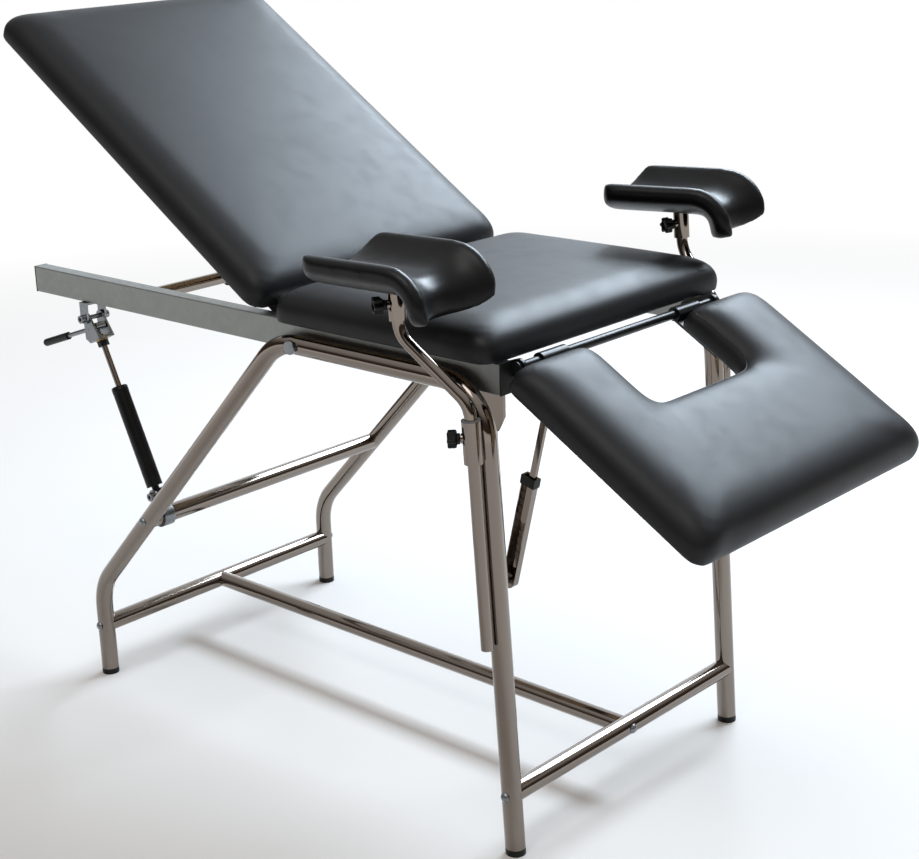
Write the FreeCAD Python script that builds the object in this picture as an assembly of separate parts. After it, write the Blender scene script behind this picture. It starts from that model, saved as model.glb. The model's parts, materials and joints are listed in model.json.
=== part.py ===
import FreeCAD, Part
import math
import os

from FreeCAD import Vector

# Gynaecological examination table. Millimetres, +Z up, +X to the foot end where the leg section is.
# Side names are those of a viewer at the foot end who looks at the table: left is -Y, right is +Y.

# Width of the table, which the frame, rails, hinges, gas spring and crutches follow
CUSHION_HALF = 284.0

# Base frame of bent tube
TUBE_D = 30.0
TUBE_WALL = 1.5
TRACK_INSET = 13.0            # middle plane of each side tube, inside the cushions' edge
TRACK_HALF = CUSHION_HALF - TRACK_INSET
FRONT_FOOT_X = 393.0
FRONT_TOP_X = 353.0           # corner point of the front bend
REAR_TOP_X = -58.0            # corner point of the upper rear bend
REAR_FOOT_X = -570.0
TOP_RUN_Z = 700.0
REAR_KNEE_Z = 169.0           # corner point of the lower rear bend
FRONT_BEND_R = 80.0
REAR_BEND_R = 100.0
LOW_BAR_Z = 94.0
MIDDLE_BAR_Z = 329.0
STRETCHER_D = 28.0
WELD_GAP = 0.1                # room left where one round tube is fitted against another
BAR_PLUG_LENGTH = 40.0        # threaded plug in each end of a crossbar
FOOT_CAP_HEIGHT = 10.0
FOOT_PLUG_HEIGHT = 22.0
PLUG_GAP = 0.1
COPE_REACH = 60.0             # part of a slanted leg looked at on each side of a crossbar
WORK_REACH = 2000.0           # farther than any point of the table

# Frame bolts
BOLT_D = 8.0
BOLT_HEAD_D = 15.0
BOLT_HEAD_HEIGHT = 5.0
BOLT_GRIP = 24.0              # length of shank past the tube it goes through
BOLT_ROOM = 0.2

# Tilting top frame
RAIL_WIDTH = 25.0
RAIL_HEIGHT = 45.0
RAIL_WALL = 2.0
RAIL_GAP = 2.0                # side room between a rail and its side tube
RAIL_OUTER_Y = TRACK_HALF - TUBE_D / 2 - RAIL_GAP
RAIL_INNER_Y = RAIL_OUTER_Y - RAIL_WIDTH
RAIL_TOP_Z = 730.0
RAIL_REAR_X = -704.0
RAIL_FRONT_X = 368.0
RAIL_CAP_THICK = 3.0
RAIL_CAP_PLUG = 18.0
TILT_X = -14.0
TILT_Z = 700.0
TILT_PIN_D = 12.0
TILT_HEAD_D = 22.0
TILT_HEAD_THICK = 5.0
TILT_HEAD_ROUND = 1.5
RUNNING_FIT = 0.05            # radial room round a pin that something turns on
FACE_ROOM = 0.5               # side room between plates that turn past each other
CROSS_TUBE_D = 22.0
CROSS_TUBE_WALL = 2.0
CROSS_TUBE_X = (40.0, 200.0)
CROSS_TUBE_Z = 707.0

# Boards and cushions
BOARD_THICK = 12.0
BOARD_INSET = 15.0            # board edge from the cushion's widest outline
CUSHION_LIFT = 0.5            # cushion underside above the rails
# Cushion edge profile as pairs of height above the underside and inset from the widest outline
CUSHION_LEVELS = ((0.0, 4.0), (14.0, 0.0), (30.0, 3.0), (43.0, 13.0), (51.0, 29.0), (55.0, 47.0), (56.0, 62.0))
CUSHION_CORNER_R = 28.0
SEAT_REAR_X = -67.0
SEAT_FRONT_X = 371.0

# Backrest
BACK_ANGLE = 33.1             # raised by this much in the rest pose
BACK_HINGE_X = -88.0
BACK_HINGE_Z = 739.0
BACK_NEAR = 10.0              # cushion ends, measured from the hinge along the flat backrest
BACK_FAR = 738.0
BACK_BOARD_NEAR = 26.0
BACK_PIN_D = 10.0
BACK_EYE_R = 8.0
BACK_BRACKET_THICK = 5.0
BACK_BRACKET_HALF = 20.0
BACK_BRACKET_BOTTOM_Z = 690.0
BACK_BRACKET_SHOULDER = 4.0   # rear shoulder below the rail top, under the flat backrest
BACK_ARM_LENGTH = 120.0
BACK_ARM_DEPTH = 20.0
BACK_ARM_TIP_DEPTH = 10.0
BACK_ARM_HEEL = 4.0           # arm's underside under the hinge, above its lowest edge
BACK_ARM_THICK = 5.0

# Prop that holds the backrest up on the racks
PROP_PIVOT_OUT = 180.0        # prop pivot from the hinge, along the backrest and below the hinge line
PROP_PIVOT_BELOW = 20.0
PROP_LENGTH = 223.0
PROP_FOOT_Z = 706.0
PROP_BAR_GAP = 2.0            # foot bar's ends from the rails
PROP_BAR_HALF = RAIL_INNER_Y - PROP_BAR_GAP
PROP_ARM_Y = 40.0
PROP_ARM_THICK = 6.0
PROP_ARM_WIDTH = 20.0
PROP_EYE_R = 16.0
PROP_PIN_D = 8.0
PROP_PIN_HEAD = 13.0
PROP_LUG_THICK = 5.0
PROP_PLATE_THICK = 3.0
PROP_PLATE_HALF = 16.0
RACK_REAR_X = -545.0
RACK_PITCH = 28.0
RACK_TEETH = 10
RACK_TIP_WIDTH = 7.0
RACK_SLOPE_END = 21.0         # foot of each tooth's sloping face, from the tooth's start
RACK_BOTTOM_Z = 686.0
RACK_VALLEY_Z = 689.5
RACK_THICK = 8.0
RACK_ROOM = 1.2               # foot bar above the tooth tips

# Leg section
LEG_ANGLE = 30.5              # lowered by this much in the rest pose
LEG_HINGE_X = 381.0
LEG_HINGE_Z = 722.0
LEG_BELOW = 5.0               # panel underside below the hinge line
LEG_NEAR = 15.0
LEG_FAR = 388.0
LEG_ARM_WIDTH = 166.0         # panel on each side of the cut-out
LEG_CUT_HALF = CUSHION_HALF - LEG_ARM_WIDTH
LEG_CUT_END = 150.0           # closed end of the cut-out, from the hinge
LEG_CUT_R = 24.0
LEG_NOSE_R = 16.0             # corners where the cut-out meets the hinge edge
AXLE_D = 14.0
AXLE_NUT_D = 18.0
AXLE_NUT_THICK = 6.0
KNUCKLE_D = 22.0
KNUCKLE_LENGTH = 55.0
KNUCKLE_INSET = 44.0          # knuckle's outer end from the rail
KNUCKLE_OUTER_Y = RAIL_INNER_Y - KNUCKLE_INSET
KNUCKLE_INNER_Y = KNUCKLE_OUTER_Y - KNUCKLE_LENGTH
LEAF_LENGTH = 95.0
LEAF_THICK = 4.0
LEG_BRACKET_REAR_X = 338.0
LEG_BRACKET_THICK = 5.0
LEG_BRACKET_R = 12.0

# Toothed strut that holds the leg section
STRUT_INSET = 24.0            # strut's middle plane from the left rail
STRUT_Y = STRUT_INSET - RAIL_INNER_Y
STRUT_FOOT_X = 337.0
STRUT_FOOT_Z = 392.0
STRUT_PIVOT_OUT = 50.0        # upper pivot from the leg hinge, along the panel and below the hinge line
STRUT_PIVOT_BELOW = 17.0
STRUT_ANGLE = 75.6            # channel slope in the rest pose
STRUT_PIN_D = 8.0
STRUT_EYE_D = 15.0
STRUT_KEEPER_D = 12.0
CHANNEL_INNER = 19.0
CHANNEL_WALL = 1.5
CHANNEL_DEPTH = 11.0
CHANNEL_TOP = 172.0
CHANNEL_FOOT_R = 13.0
CHANNEL_TOOTH_PITCH = 12.0
CHANNEL_TOOTH_WIDTH = 6.0
CHANNEL_TOOTH_HEIGHT = 1.2
CHANNEL_TEETH = 11
COLLAR_LENGTH = 14.0
COLLAR_THICK = 1.5
STRUT_BAR_WIDTH = 9.5
STRUT_BAR_THICK = 6.0
STRUT_BAR_LENGTH = 197.0
STRUT_LUG_THICK = 4.0
STRUT_LUG_HALF = 12.0
STRUT_LUG_BASE = 2.0
HANGER_WIDTH = 25.0
HANGER_THICK = 5.0
HANGER_TOP_X = 319.0
HANGER_FRONT_X = 352.0        # front edge of the gusset under the rail
GUSSET_TOE_X = 339.5
GUSSET_RISE = 25.0            # gusset's top edge above the rail's underside
GUSSET_REAR_DROP = 25.0       # gusset corners below the rail's underside
GUSSET_LOW_DROP = 75.0
GUSSET_TOE_DROP = 62.5
GUSSET_FRONT_DROP = 40.0

# Locking gas spring
GAS_INSET = 14.0              # spring's middle plane from the left rail's outer face
GAS_Y = GAS_INSET - RAIL_OUTER_Y
GAS_TOP_X = -565.0
GAS_TOP_Z = 657.0
GAS_FOOT_X = -427.0
GAS_FOOT_Z = 363.0
GAS_D = 28.0
GAS_WALL = 2.0
GAS_GLAND_AT = 196.0          # end of the cylinder, measured from the lower pin
GAS_SHELL_AT = 16.0           # lower end of the round shell, measured from the lower pin
GAS_BOTTOM_AT = 22.0          # floor of the bore
GAS_GLAND_THICK = 12.0
GAS_ROD_D = 10.0
GAS_ROD_ROOM = 0.4
GAS_ROD_INSIDE = 78.0
GAS_PISTON_LENGTH = 12.0
GAS_PIN_D = 8.0
GAS_EYE_D = 20.0
GAS_EYE_WIDTH = 13.0
GAS_NECK_D = 12.5
GAS_LUG_THICK = 4.0
GAS_LUG_WIDTH = 22.0
LOCK_NUT_ACROSS = 17.0
LOCK_NUT_THICK = 10.0
WASHER_D = 22.0
WASHER_THICK = 2.0
HEAD_WEB_BELOW = 42.0         # underside of the release head's web below the upper bolt
HEAD_WEB_THICK = 5.0
HEAD_INNER = 24.0
HEAD_PLATE_THICK = 4.0
HEAD_REAR = 21.0
HEAD_FRONT = 17.0
HEAD_HEEL = 12.6              # rear lower corner of the side plates is cut back to this
HEAD_HEEL_BELOW = 31.5
HEAD_BACKSET = 2.0            # plate top past the bolt's own eye
CLEVIS_THICK = 4.0
CLEVIS_WIDTH = 19.0
CLEVIS_EYE_R = 11.0
GAS_BOLT_HEAD_D = 14.0
GAS_BOLT_HEAD_THICK = 8.0
BOLT_SOCKET_D = 7.0
BOLT_SOCKET_DEPTH = 4.0
VALVE_D = 5.0
VALVE_TOP_BELOW = 24.0        # top of the valve pin below the upper bolt
VALVE_LENGTH = 26.0
VALVE_FIT = 0.1
ROD_TIP_BELOW = 33.0          # threaded tip of the rod below the upper bolt
LEVER_PIN_REAR = 7.0          # lever pin behind the spring axis
LEVER_PIN_BELOW = 18.0        # lever pin below the upper bolt
LEVER_PIN_D = 5.0
LEVER_CAM_R = 5.6
LEVER_CAM_WIDTH = 18.0
LEVER_NOSE = 14.0             # cam reaches this far ahead of the lever pin
LEVER_ROD_D = 8.0
LEVER_TIP_X = -718.0
LEVER_TIP_Z = 586.0
GRIP_LENGTH = 78.0
GRIP_D = 13.5

# Leg crutches
SOCKET_D = 27.0
SOCKET_BORE = 22.0
SOCKET_BOTTOM = 600.0         # heights along the crutch's own leaning axis
SOCKET_TOP = 660.0
SOCKET_GAP = 0.5
SADDLE_WIDTH = 12.0
SADDLE_HEIGHT = 30.0
LINER_FLANGE = 2.0
CRUTCH_ROD_D = 18.0
CRUTCH_ROD_BOTTOM = 328.0
CRUTCH_BEND_LOW = 682.0
CRUTCH_BEND_R = 45.0
CRUTCH_REACH = 98.0
CRUTCH_RISE = 95.0
CRUTCH_SWING = 17.0           # turned outward by this much in the rest pose
SLEEVE_D = 25.0
SLEEVE_LENGTH = 42.0
SLEEVE_RISE = 62.0            # sleeve's top above the rod's upper bend
SLEEVE_TOP = CRUTCH_BEND_LOW + CRUTCH_RISE + SLEEVE_RISE
SLEEVE_BOTTOM = SLEEVE_TOP - SLEEVE_LENGTH
ROD_END_ROOM = 3.0
KNOB_HIGH_BELOW = 19.0        # upper knob below the sleeve's top
KNOB_HIGH = SLEEVE_TOP - KNOB_HIGH_BELOW
KNOB_LOW_BELOW = 24.0         # lower knob below the socket's top
KNOB_LOW = SOCKET_TOP - KNOB_LOW_BELOW
KNOB_LOW_TURN = 37.0          # from -X toward the outside
KNOB_HIGH_TURN = 55.0         # from the pad's rear end toward its right-hand rim
KNOB_BOSS_D = 14.0
KNOB_BOSS_OUT = 15.0
KNOB_STUD_D = 8.0
KNOB_HUB_D = 15.0
KNOB_HUB_LENGTH = 5.0
KNOB_CORE_D = 17.0
KNOB_LOBE_D = 9.0
KNOB_LOBES = 5
KNOB_LENGTH = 13.0
KNOB_START = 15.6             # hub face from the clamped rod's axis
STUD_ROOM = 0.3

# Crutch pads
PAD_REAR = -110.0             # along the pad, from the sleeve
PAD_BEND = 46.0
PAD_BEND_R = 12.0             # underside radius where the front lip turns down
PAD_BEND_ANGLE = 80.0
PAD_LIP = 22.0
PAD_CENTRE_THICK = 22.0
PAD_RIM_INNER = 66.0          # half width to the inner crest of the rim
PAD_RIM_HEIGHTS = (53.0, 60.0)   # lower rim at the pad's right hand, higher rim at its left hand
PAD_RIM_OUTER = 85.0
PAD_RIM_DROP = 12.0           # widest point of a rim below its crest
PAD_UNDER_HALF = 76.0
PAD_RIM_THICK = 28.0          # rim crest above the edge of the underside
PAD_CORNER_RADII = (36.0, 62.0)  # corners of the lower rim and of the higher rim
PAD_YAW = {"left": 4.0, "right": 14.0}
PAD_PLATE_LENGTH = 70.0
PAD_PLATE_WIDTH = 34.0
PAD_PLATE_THICK = 4.0

Y_AXIS = Vector(0, 1, 0)
Z_AXIS = Vector(0, 0, 1)
SIDES = {"left": -1, "right": 1}
RAIL_BOTTOM_Z = RAIL_TOP_Z - RAIL_HEIGHT
LEAN = math.degrees(math.atan2(FRONT_FOOT_X - FRONT_TOP_X, TOP_RUN_Z))
SOCKET_Y = TRACK_HALF + TUBE_D / 2 + SOCKET_D / 2 + SOCKET_GAP


# General shapes

def round_bar(start, end, diameter):
    """Solid round bar between two points."""
    axis = end - start
    return Part.makeCylinder(diameter / 2, axis.Length, start, axis)


def round_tube(start, end, outer, inner):
    """Open tube between two points."""
    return round_bar(start, end, outer).cut(round_bar(start, end, inner))


def bar_across(x, z, y_from, y_to, diameter):
    """Round bar that runs across the table."""
    return round_bar(Vector(x, y_from, z), Vector(x, y_to, z), diameter)


def box(x_range, y_range, z_range):
    """Box between two corners given as ranges."""
    size = [abs(high - low) for low, high in (x_range, y_range, z_range)]
    corner = Vector(min(x_range), min(y_range), min(z_range))
    return Part.makeBox(size[0], size[1], size[2], corner)


def plate(outline, y_from, y_to):
    """Flat plate from an outline of (x, z) points, upright and along the table."""
    points = [Vector(x, y_from, z) for x, z in outline]
    face = Part.Face(Part.makePolygon(points + [points[0]]))
    return face.extrude(Vector(0, y_to - y_from, 0))


def link(start, end, width, y_from, y_to):
    """Flat bar with round ends between two (x, z) points."""
    along = Vector(end[0] - start[0], 0, end[1] - start[1])
    side = Vector(-along.z, 0, along.x).normalize() * (width / 2)
    first = Vector(start[0], y_from, start[1])
    last = Vector(end[0], y_from, end[1])
    corners = [first + side, last + side, last - side, first - side]
    body = Part.Face(Part.makePolygon(corners + [corners[0]])).extrude(Vector(0, y_to - y_from, 0))
    ends = [bar_across(x, z, y_from, y_to, width) for x, z in (start, end)]
    return body.fuse(ends).removeSplitter()


def hung_lug(x, z, half, top_z, y_from, y_to):
    """Flat lug with a round lower end about a pin, straight up to a height."""
    strap = box((x - half, x + half), (y_from, y_to), (z, top_z))
    return strap.fuse(bar_across(x, z, min(y_from, y_to), max(y_from, y_to), 2 * half)).removeSplitter()


def rounded_wire(points, radii, closed):
    """Lines through the points, each corner rounded by an arc; open ends stay as they are."""
    count = len(points)
    starts = list(points)
    ends = list(points)
    arcs = [None] * count
    for i in range(count):
        if not closed and i in (0, count - 1):
            continue
        corner = points[i]
        back = (points[i - 1] - corner).normalize()
        ahead = (points[(i + 1) % count] - corner).normalize()
        half = back.getAngle(ahead) / 2
        reach = radii[i] / math.tan(half)
        starts[i] = corner + back * reach
        ends[i] = corner + ahead * reach
        inward = (back + ahead).normalize()
        middle = corner + inward * (radii[i] / math.sin(half) - radii[i])
        arcs[i] = Part.Arc(starts[i], middle, ends[i]).toShape()
    edges = []
    for i in range(count):
        if arcs[i]:
            edges.append(arcs[i])
        if closed or i < count - 1:
            edges.append(Part.makeLine(ends[i], starts[(i + 1) % count]))
    return Part.Wire(edges)


def bent_bar(points, radii, diameter):
    """Round bar bent along a path."""
    path = rounded_wire(points, radii, False)
    circle = Part.makeCircle(diameter / 2, points[0], points[1] - points[0])
    return path.makePipeShell([Part.Wire([circle])], True, False)


def mirrored(shape):
    """The same shape on the other side of the table."""
    return shape.mirror(Vector(0, 0, 0), Y_AXIS)


def both_sides(shape):
    """A shape and its mirror image as one group of separate solids."""
    return Part.makeCompound([shape, mirrored(shape)])


def turned(shape, x, z, angle):
    """Shape turned about a line across the table; a positive angle lifts the head end."""
    return shape.rotated(Vector(x, 0, z), Y_AXIS, angle)


# Base frame

def front_leg_x(z):
    """Middle of the leaning front legs at a height."""
    return FRONT_FOOT_X + (FRONT_TOP_X - FRONT_FOOT_X) * z / TOP_RUN_Z


def slanted_leg_x(z):
    """Middle of the slanted rear legs at a height."""
    share = (z - REAR_KNEE_Z) / (TOP_RUN_Z - REAR_KNEE_Z)
    return REAR_FOOT_X + (REAR_TOP_X - REAR_FOOT_X) * share


CROSSBARS = {
    "front_crossbar": (front_leg_x(LOW_BAR_Z), LOW_BAR_Z),
    "rear_crossbar": (REAR_FOOT_X, LOW_BAR_Z),
    "middle_crossbar": (slanted_leg_x(MIDDLE_BAR_Z), MIDDLE_BAR_Z),
}


def side_path_bar(diameter):
    """Bent bar along the left side tube's middle line, running on below the floor."""
    low = -2 * FOOT_CAP_HEIGHT
    corners = [(front_leg_x(low), low), (FRONT_TOP_X, TOP_RUN_Z), (REAR_TOP_X, TOP_RUN_Z),
               (REAR_FOOT_X, REAR_KNEE_Z), (REAR_FOOT_X, low)]
    points = [Vector(x, -TRACK_HALF, z) for x, z in corners]
    return bent_bar(points, [0, FRONT_BEND_R, REAR_BEND_R, REAR_BEND_R, 0], diameter)


def below(z):
    """Everything under a height, for trimming the feet level."""
    return box((-WORK_REACH, WORK_REACH), (-WORK_REACH, WORK_REACH), (-WORK_REACH, z))


def side_tube():
    """Left side tube with its bolt and pivot holes."""
    tube = side_path_bar(TUBE_D).cut(side_path_bar(TUBE_D - 2 * TUBE_WALL))
    tube = tube.cut(below(FOOT_CAP_HEIGHT))
    outside = -TRACK_HALF - TUBE_D
    inside = -TRACK_HALF + TUBE_D
    holes = [bar_across(x, z, outside, inside, BOLT_D + 2 * BOLT_ROOM) for x, z in CROSSBARS.values()]
    holes.append(bar_across(TILT_X, TILT_Z, outside, inside, TILT_PIN_D + 2 * WELD_GAP))
    return tube.cut(holes)


def foot_caps():
    """Four black caps plugged into the tube ends, level with the floor."""
    caps = []
    for side in SIDES.values():
        for foot_x, knee_x in ((FRONT_FOOT_X, FRONT_TOP_X), (REAR_FOOT_X, REAR_FOOT_X)):
            axis = Vector(knee_x - foot_x, 0, TOP_RUN_Z)
            foot = Vector(foot_x, side * TRACK_HALF, 0)
            start = foot - axis * (FOOT_CAP_HEIGHT / TOP_RUN_Z)
            cap_end = foot + axis * (2 * FOOT_CAP_HEIGHT / TOP_RUN_Z)
            plug_end = foot + axis * ((FOOT_CAP_HEIGHT + FOOT_PLUG_HEIGHT) / TOP_RUN_Z)
            cap = round_bar(start, cap_end, TUBE_D).common(below(FOOT_CAP_HEIGHT))
            plug = round_bar(start, plug_end, TUBE_D - 2 * TUBE_WALL - 2 * PLUG_GAP)
            caps.append(cap.fuse(plug).cut(below(0)).removeSplitter())
    return Part.makeCompound(caps)


def leg_stub(side, x, z):
    """Straight stand-in for a side tube around a crossbar joint, with weld room."""
    if x > 0:
        ends = [Vector(front_leg_x(height), side * TRACK_HALF, height) for height in (0, 2 * z)]
    elif z > REAR_KNEE_Z:
        heights = (z - COPE_REACH, z + COPE_REACH)
        ends = [Vector(slanted_leg_x(height), side * TRACK_HALF, height) for height in heights]
    else:
        ends = [Vector(x, side * TRACK_HALF, height) for height in (0, 2 * z)]
    return round_bar(ends[0], ends[1], TUBE_D + 2 * WELD_GAP)


def crossbar(x, z):
    """Crossbar tube coped to the side tubes, plugged and bored for a bolt at each end."""
    bar = bar_across(x, z, -TRACK_HALF, TRACK_HALF, TUBE_D)
    hollow_half = TRACK_HALF - BAR_PLUG_LENGTH
    bar = bar.cut(bar_across(x, z, -hollow_half, hollow_half, TUBE_D - 2 * TUBE_WALL))
    bolt_hole = bar_across(x, z, -TRACK_HALF, TRACK_HALF, BOLT_D + 2 * BOLT_ROOM)
    return bar.cut([bolt_hole] + [leg_stub(side, x, z) for side in SIDES.values()])


def stretcher_ends():
    """Middle lines of the two low crossbars, where the stretcher ends."""
    return [Vector(CROSSBARS[name][0], 0, LOW_BAR_Z) for name in ("rear_crossbar", "front_crossbar")]


def stretcher_hole():
    """Bore for the bolts that go through the low crossbars into the stretcher."""
    rear, front = stretcher_ends()
    past = Vector(TUBE_D, 0, 0)
    return round_bar(rear - past, front + past, BOLT_D + 2 * BOLT_ROOM)


def centre_stretcher():
    """Lengthwise tube between the low crossbars."""
    rear, front = stretcher_ends()
    bar = round_bar(rear, front, STRETCHER_D)
    inset = Vector(BAR_PLUG_LENGTH, 0, 0)
    bar = bar.cut(round_bar(rear + inset, front - inset, STRETCHER_D - 2 * TUBE_WALL))
    seats = [bar_across(end.x, end.z, -TUBE_D, TUBE_D, TUBE_D + 2 * WELD_GAP) for end in (rear, front)]
    return bar.cut(seats + [stretcher_hole()])


def frame_bolt(seat, inward):
    """Dome-headed bolt: seat is the point of the tube's skin under the head."""
    shank = round_bar(seat, seat + inward * (TUBE_D + BOLT_GRIP), BOLT_D)
    rim_r = BOLT_HEAD_D / 2
    dome_r = (rim_r ** 2 + BOLT_HEAD_HEIGHT ** 2) / (2 * BOLT_HEAD_HEIGHT)
    ball = Part.makeSphere(dome_r, seat - inward * (BOLT_HEAD_HEIGHT - dome_r))
    blank = round_bar(seat, seat - inward * BOLT_HEAD_HEIGHT, BOLT_HEAD_D)
    return shank.fuse(ball.common(blank)).removeSplitter()


def frame_bolts():
    """Bolts through the side tubes into the crossbars, and through two crossbars into the stretcher."""
    bolts = []
    for x, z in CROSSBARS.values():
        for side in SIDES.values():
            seat = Vector(x, side * (TRACK_HALF + TUBE_D / 2 + WELD_GAP), z)
            bolts.append(frame_bolt(seat, Vector(0, -side, 0)))
    rear, front = stretcher_ends()
    skin = Vector(TUBE_D / 2 + WELD_GAP, 0, 0)
    bolts.append(frame_bolt(front + skin, Vector(-1, 0, 0)))
    bolts.append(frame_bolt(rear - skin, Vector(1, 0, 0)))
    return Part.makeCompound(bolts)


def tilt_pin():
    """Pin through the left side tube and rail that the top frame tilts on."""
    skin = -TRACK_HALF - TUBE_D / 2 - WELD_GAP
    shank = bar_across(TILT_X, TILT_Z, skin, -RAIL_INNER_Y + FACE_ROOM, TILT_PIN_D)
    head = bar_across(TILT_X, TILT_Z, skin - TILT_HEAD_THICK, skin, TILT_HEAD_D)
    nut_end = -RAIL_INNER_Y + FACE_ROOM + TILT_HEAD_THICK
    nut = bar_across(TILT_X, TILT_Z, -RAIL_INNER_Y + FACE_ROOM, nut_end, TILT_HEAD_D)
    return head.makeFillet(TILT_HEAD_ROUND, [head.Edges[2]]).fuse([shank, nut]).removeSplitter()


# Tilting top frame

def rail_box(inset, x_from, x_to):
    """Left rail's section, drawn in by an amount."""
    return box((x_from, x_to), (-RAIL_OUTER_Y + inset, -RAIL_INNER_Y - inset),
               (RAIL_BOTTOM_Z + inset, RAIL_TOP_Z - inset))


def rail():
    """Left rail, a box tube bored for the tilt pin."""
    body = rail_box(0, RAIL_REAR_X, RAIL_FRONT_X)
    long_edges = [edge for edge in body.Edges if abs(edge.tangentAt(edge.FirstParameter).x) > 0.9]
    body = body.makeFillet(RAIL_WALL, long_edges)
    body = body.cut(rail_box(RAIL_WALL, RAIL_REAR_X, RAIL_FRONT_X))
    pin_hole = bar_across(TILT_X, TILT_Z, -RAIL_OUTER_Y, -RAIL_INNER_Y, TILT_PIN_D + 2 * RUNNING_FIT)
    return body.cut(pin_hole)


def rail_caps():
    """Black caps plugged into the rail ends."""
    caps = []
    for end, out in ((RAIL_FRONT_X, 1), (RAIL_REAR_X, -1)):
        cap = rail_box(0, end, end + out * RAIL_CAP_THICK)
        plug = rail_box(RAIL_WALL + PLUG_GAP, end - out * RAIL_CAP_PLUG, end)
        caps.append(cap.fuse(plug).removeSplitter())
    return Part.makeCompound(caps + [mirrored(cap) for cap in caps])


def cross_tubes():
    """Tubes that tie the two rails together under the seat."""
    tubes = []
    for x in CROSS_TUBE_X:
        ends = [Vector(x, y, CROSS_TUBE_Z) for y in (-RAIL_INNER_Y, RAIL_INNER_Y)]
        tubes.append(round_tube(ends[0], ends[1], CROSS_TUBE_D, CROSS_TUBE_D - 2 * CROSS_TUBE_WALL))
    return Part.makeCompound(tubes)


# Cushions and boards, built lying flat

def panel_wire(x_from, x_to, inset, z):
    """Rounded oblong outline drawn in by an amount."""
    half = CUSHION_HALF - inset
    xs = (x_from + inset, x_to - inset)
    corners = [(xs[0], -half), (xs[1], -half), (xs[1], half), (xs[0], half)]
    return rounded_wire([Vector(x, y, z) for x, y in corners], [CUSHION_CORNER_R] * 4, True)


def leg_wire(inset, z):
    """Outline of the leg panel with its cut-out open to the hinge, drawn in by an amount."""
    half = CUSHION_HALF - inset
    cut = LEG_CUT_HALF + inset
    near = LEG_HINGE_X + LEG_NEAR + inset
    far = LEG_HINGE_X + LEG_FAR - inset
    closed_end = LEG_HINGE_X + LEG_CUT_END + inset
    corners = [(near, -half), (far, -half), (far, half), (near, half),
               (near, cut), (closed_end, cut), (closed_end, -cut), (near, -cut)]
    radii = [LEG_CUT_R, CUSHION_CORNER_R, CUSHION_CORNER_R, LEG_CUT_R,
             LEG_NOSE_R, LEG_CUT_R, LEG_CUT_R, LEG_NOSE_R]
    return rounded_wire([Vector(x, y, z) for x, y in corners], radii, True)


def cushion(wire_at, underside_z, board):
    """Soft pad lofted through drawn-in outlines, with a pocket for its board."""
    wires = [wire_at(inset, underside_z + height) for height, inset in CUSHION_LEVELS]
    return Part.makeLoft(wires, True, False).cut(board)


def board_from(wire):
    """Board cut to an outline."""
    return Part.Face(wire).extrude(Vector(0, 0, BOARD_THICK))


CUSHION_UNDER_Z = RAIL_TOP_Z + CUSHION_LIFT


def seat_board():
    """Board under the seat cushion; it lies on the rails."""
    wire = panel_wire(SEAT_REAR_X, SEAT_FRONT_X, BOARD_INSET, RAIL_TOP_Z)
    return Part.Face(wire).extrude(Vector(0, 0, BOARD_THICK + CUSHION_LIFT))


def seat_cushion():
    """Seat cushion."""
    def wire_at(inset, z):
        return panel_wire(SEAT_REAR_X, SEAT_FRONT_X, inset, z)
    return cushion(wire_at, CUSHION_UNDER_Z, seat_board())


def back_board_flat():
    """Backrest board, flat."""
    far = BACK_HINGE_X - BACK_FAR
    near = BACK_HINGE_X - BACK_BOARD_NEAR
    return board_from(panel_wire(far, near + BOARD_INSET, BOARD_INSET, CUSHION_UNDER_Z))


def back_cushion_flat():
    """Backrest cushion, flat."""
    def wire_at(inset, z):
        return panel_wire(BACK_HINGE_X - BACK_FAR, BACK_HINGE_X - BACK_NEAR, inset, z)
    return cushion(wire_at, CUSHION_UNDER_Z, back_board_flat())


LEG_UNDER_Z = LEG_HINGE_Z - LEG_BELOW


def leg_board_flat():
    """Leg section board, flat."""
    return board_from(leg_wire(BOARD_INSET, LEG_UNDER_Z))


def leg_cushion_flat():
    """Leg section cushion, flat."""
    return cushion(leg_wire, LEG_UNDER_Z, leg_board_flat())


def raised(shape):
    """Backrest piece moved from flat to its rest pose."""
    return turned(shape, BACK_HINGE_X, BACK_HINGE_Z, BACK_ANGLE)


def lowered(shape):
    """Leg section piece moved from flat to its rest pose."""
    return turned(shape, LEG_HINGE_X, LEG_HINGE_Z, LEG_ANGLE)


# Backrest hinge and prop

def back_hinge_bracket():
    """Left bracket on the rail's inner face, with the hinge pin."""
    outer = -RAIL_INNER_Y
    inner = outer + BACK_BRACKET_THICK
    half = BACK_BRACKET_HALF
    shoulder = RAIL_TOP_Z - BACK_BRACKET_SHOULDER
    foot = [(BACK_HINGE_X - half, BACK_BRACKET_BOTTOM_Z), (BACK_HINGE_X + half, BACK_BRACKET_BOTTOM_Z),
            (BACK_HINGE_X + half, shoulder), (BACK_HINGE_X + BACK_EYE_R, BACK_HINGE_Z),
            (BACK_HINGE_X - BACK_EYE_R, BACK_HINGE_Z), (BACK_HINGE_X - BACK_EYE_R, shoulder),
            (BACK_HINGE_X - half, shoulder)]
    body = plate(foot, outer, inner)
    eye = bar_across(BACK_HINGE_X, BACK_HINGE_Z, outer, inner, 2 * BACK_EYE_R)
    pin_end = inner + BACK_ARM_THICK + 3 * FACE_ROOM
    pin = bar_across(BACK_HINGE_X, BACK_HINGE_Z, outer, pin_end, BACK_PIN_D)
    return body.fuse([eye, pin]).removeSplitter()


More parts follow.
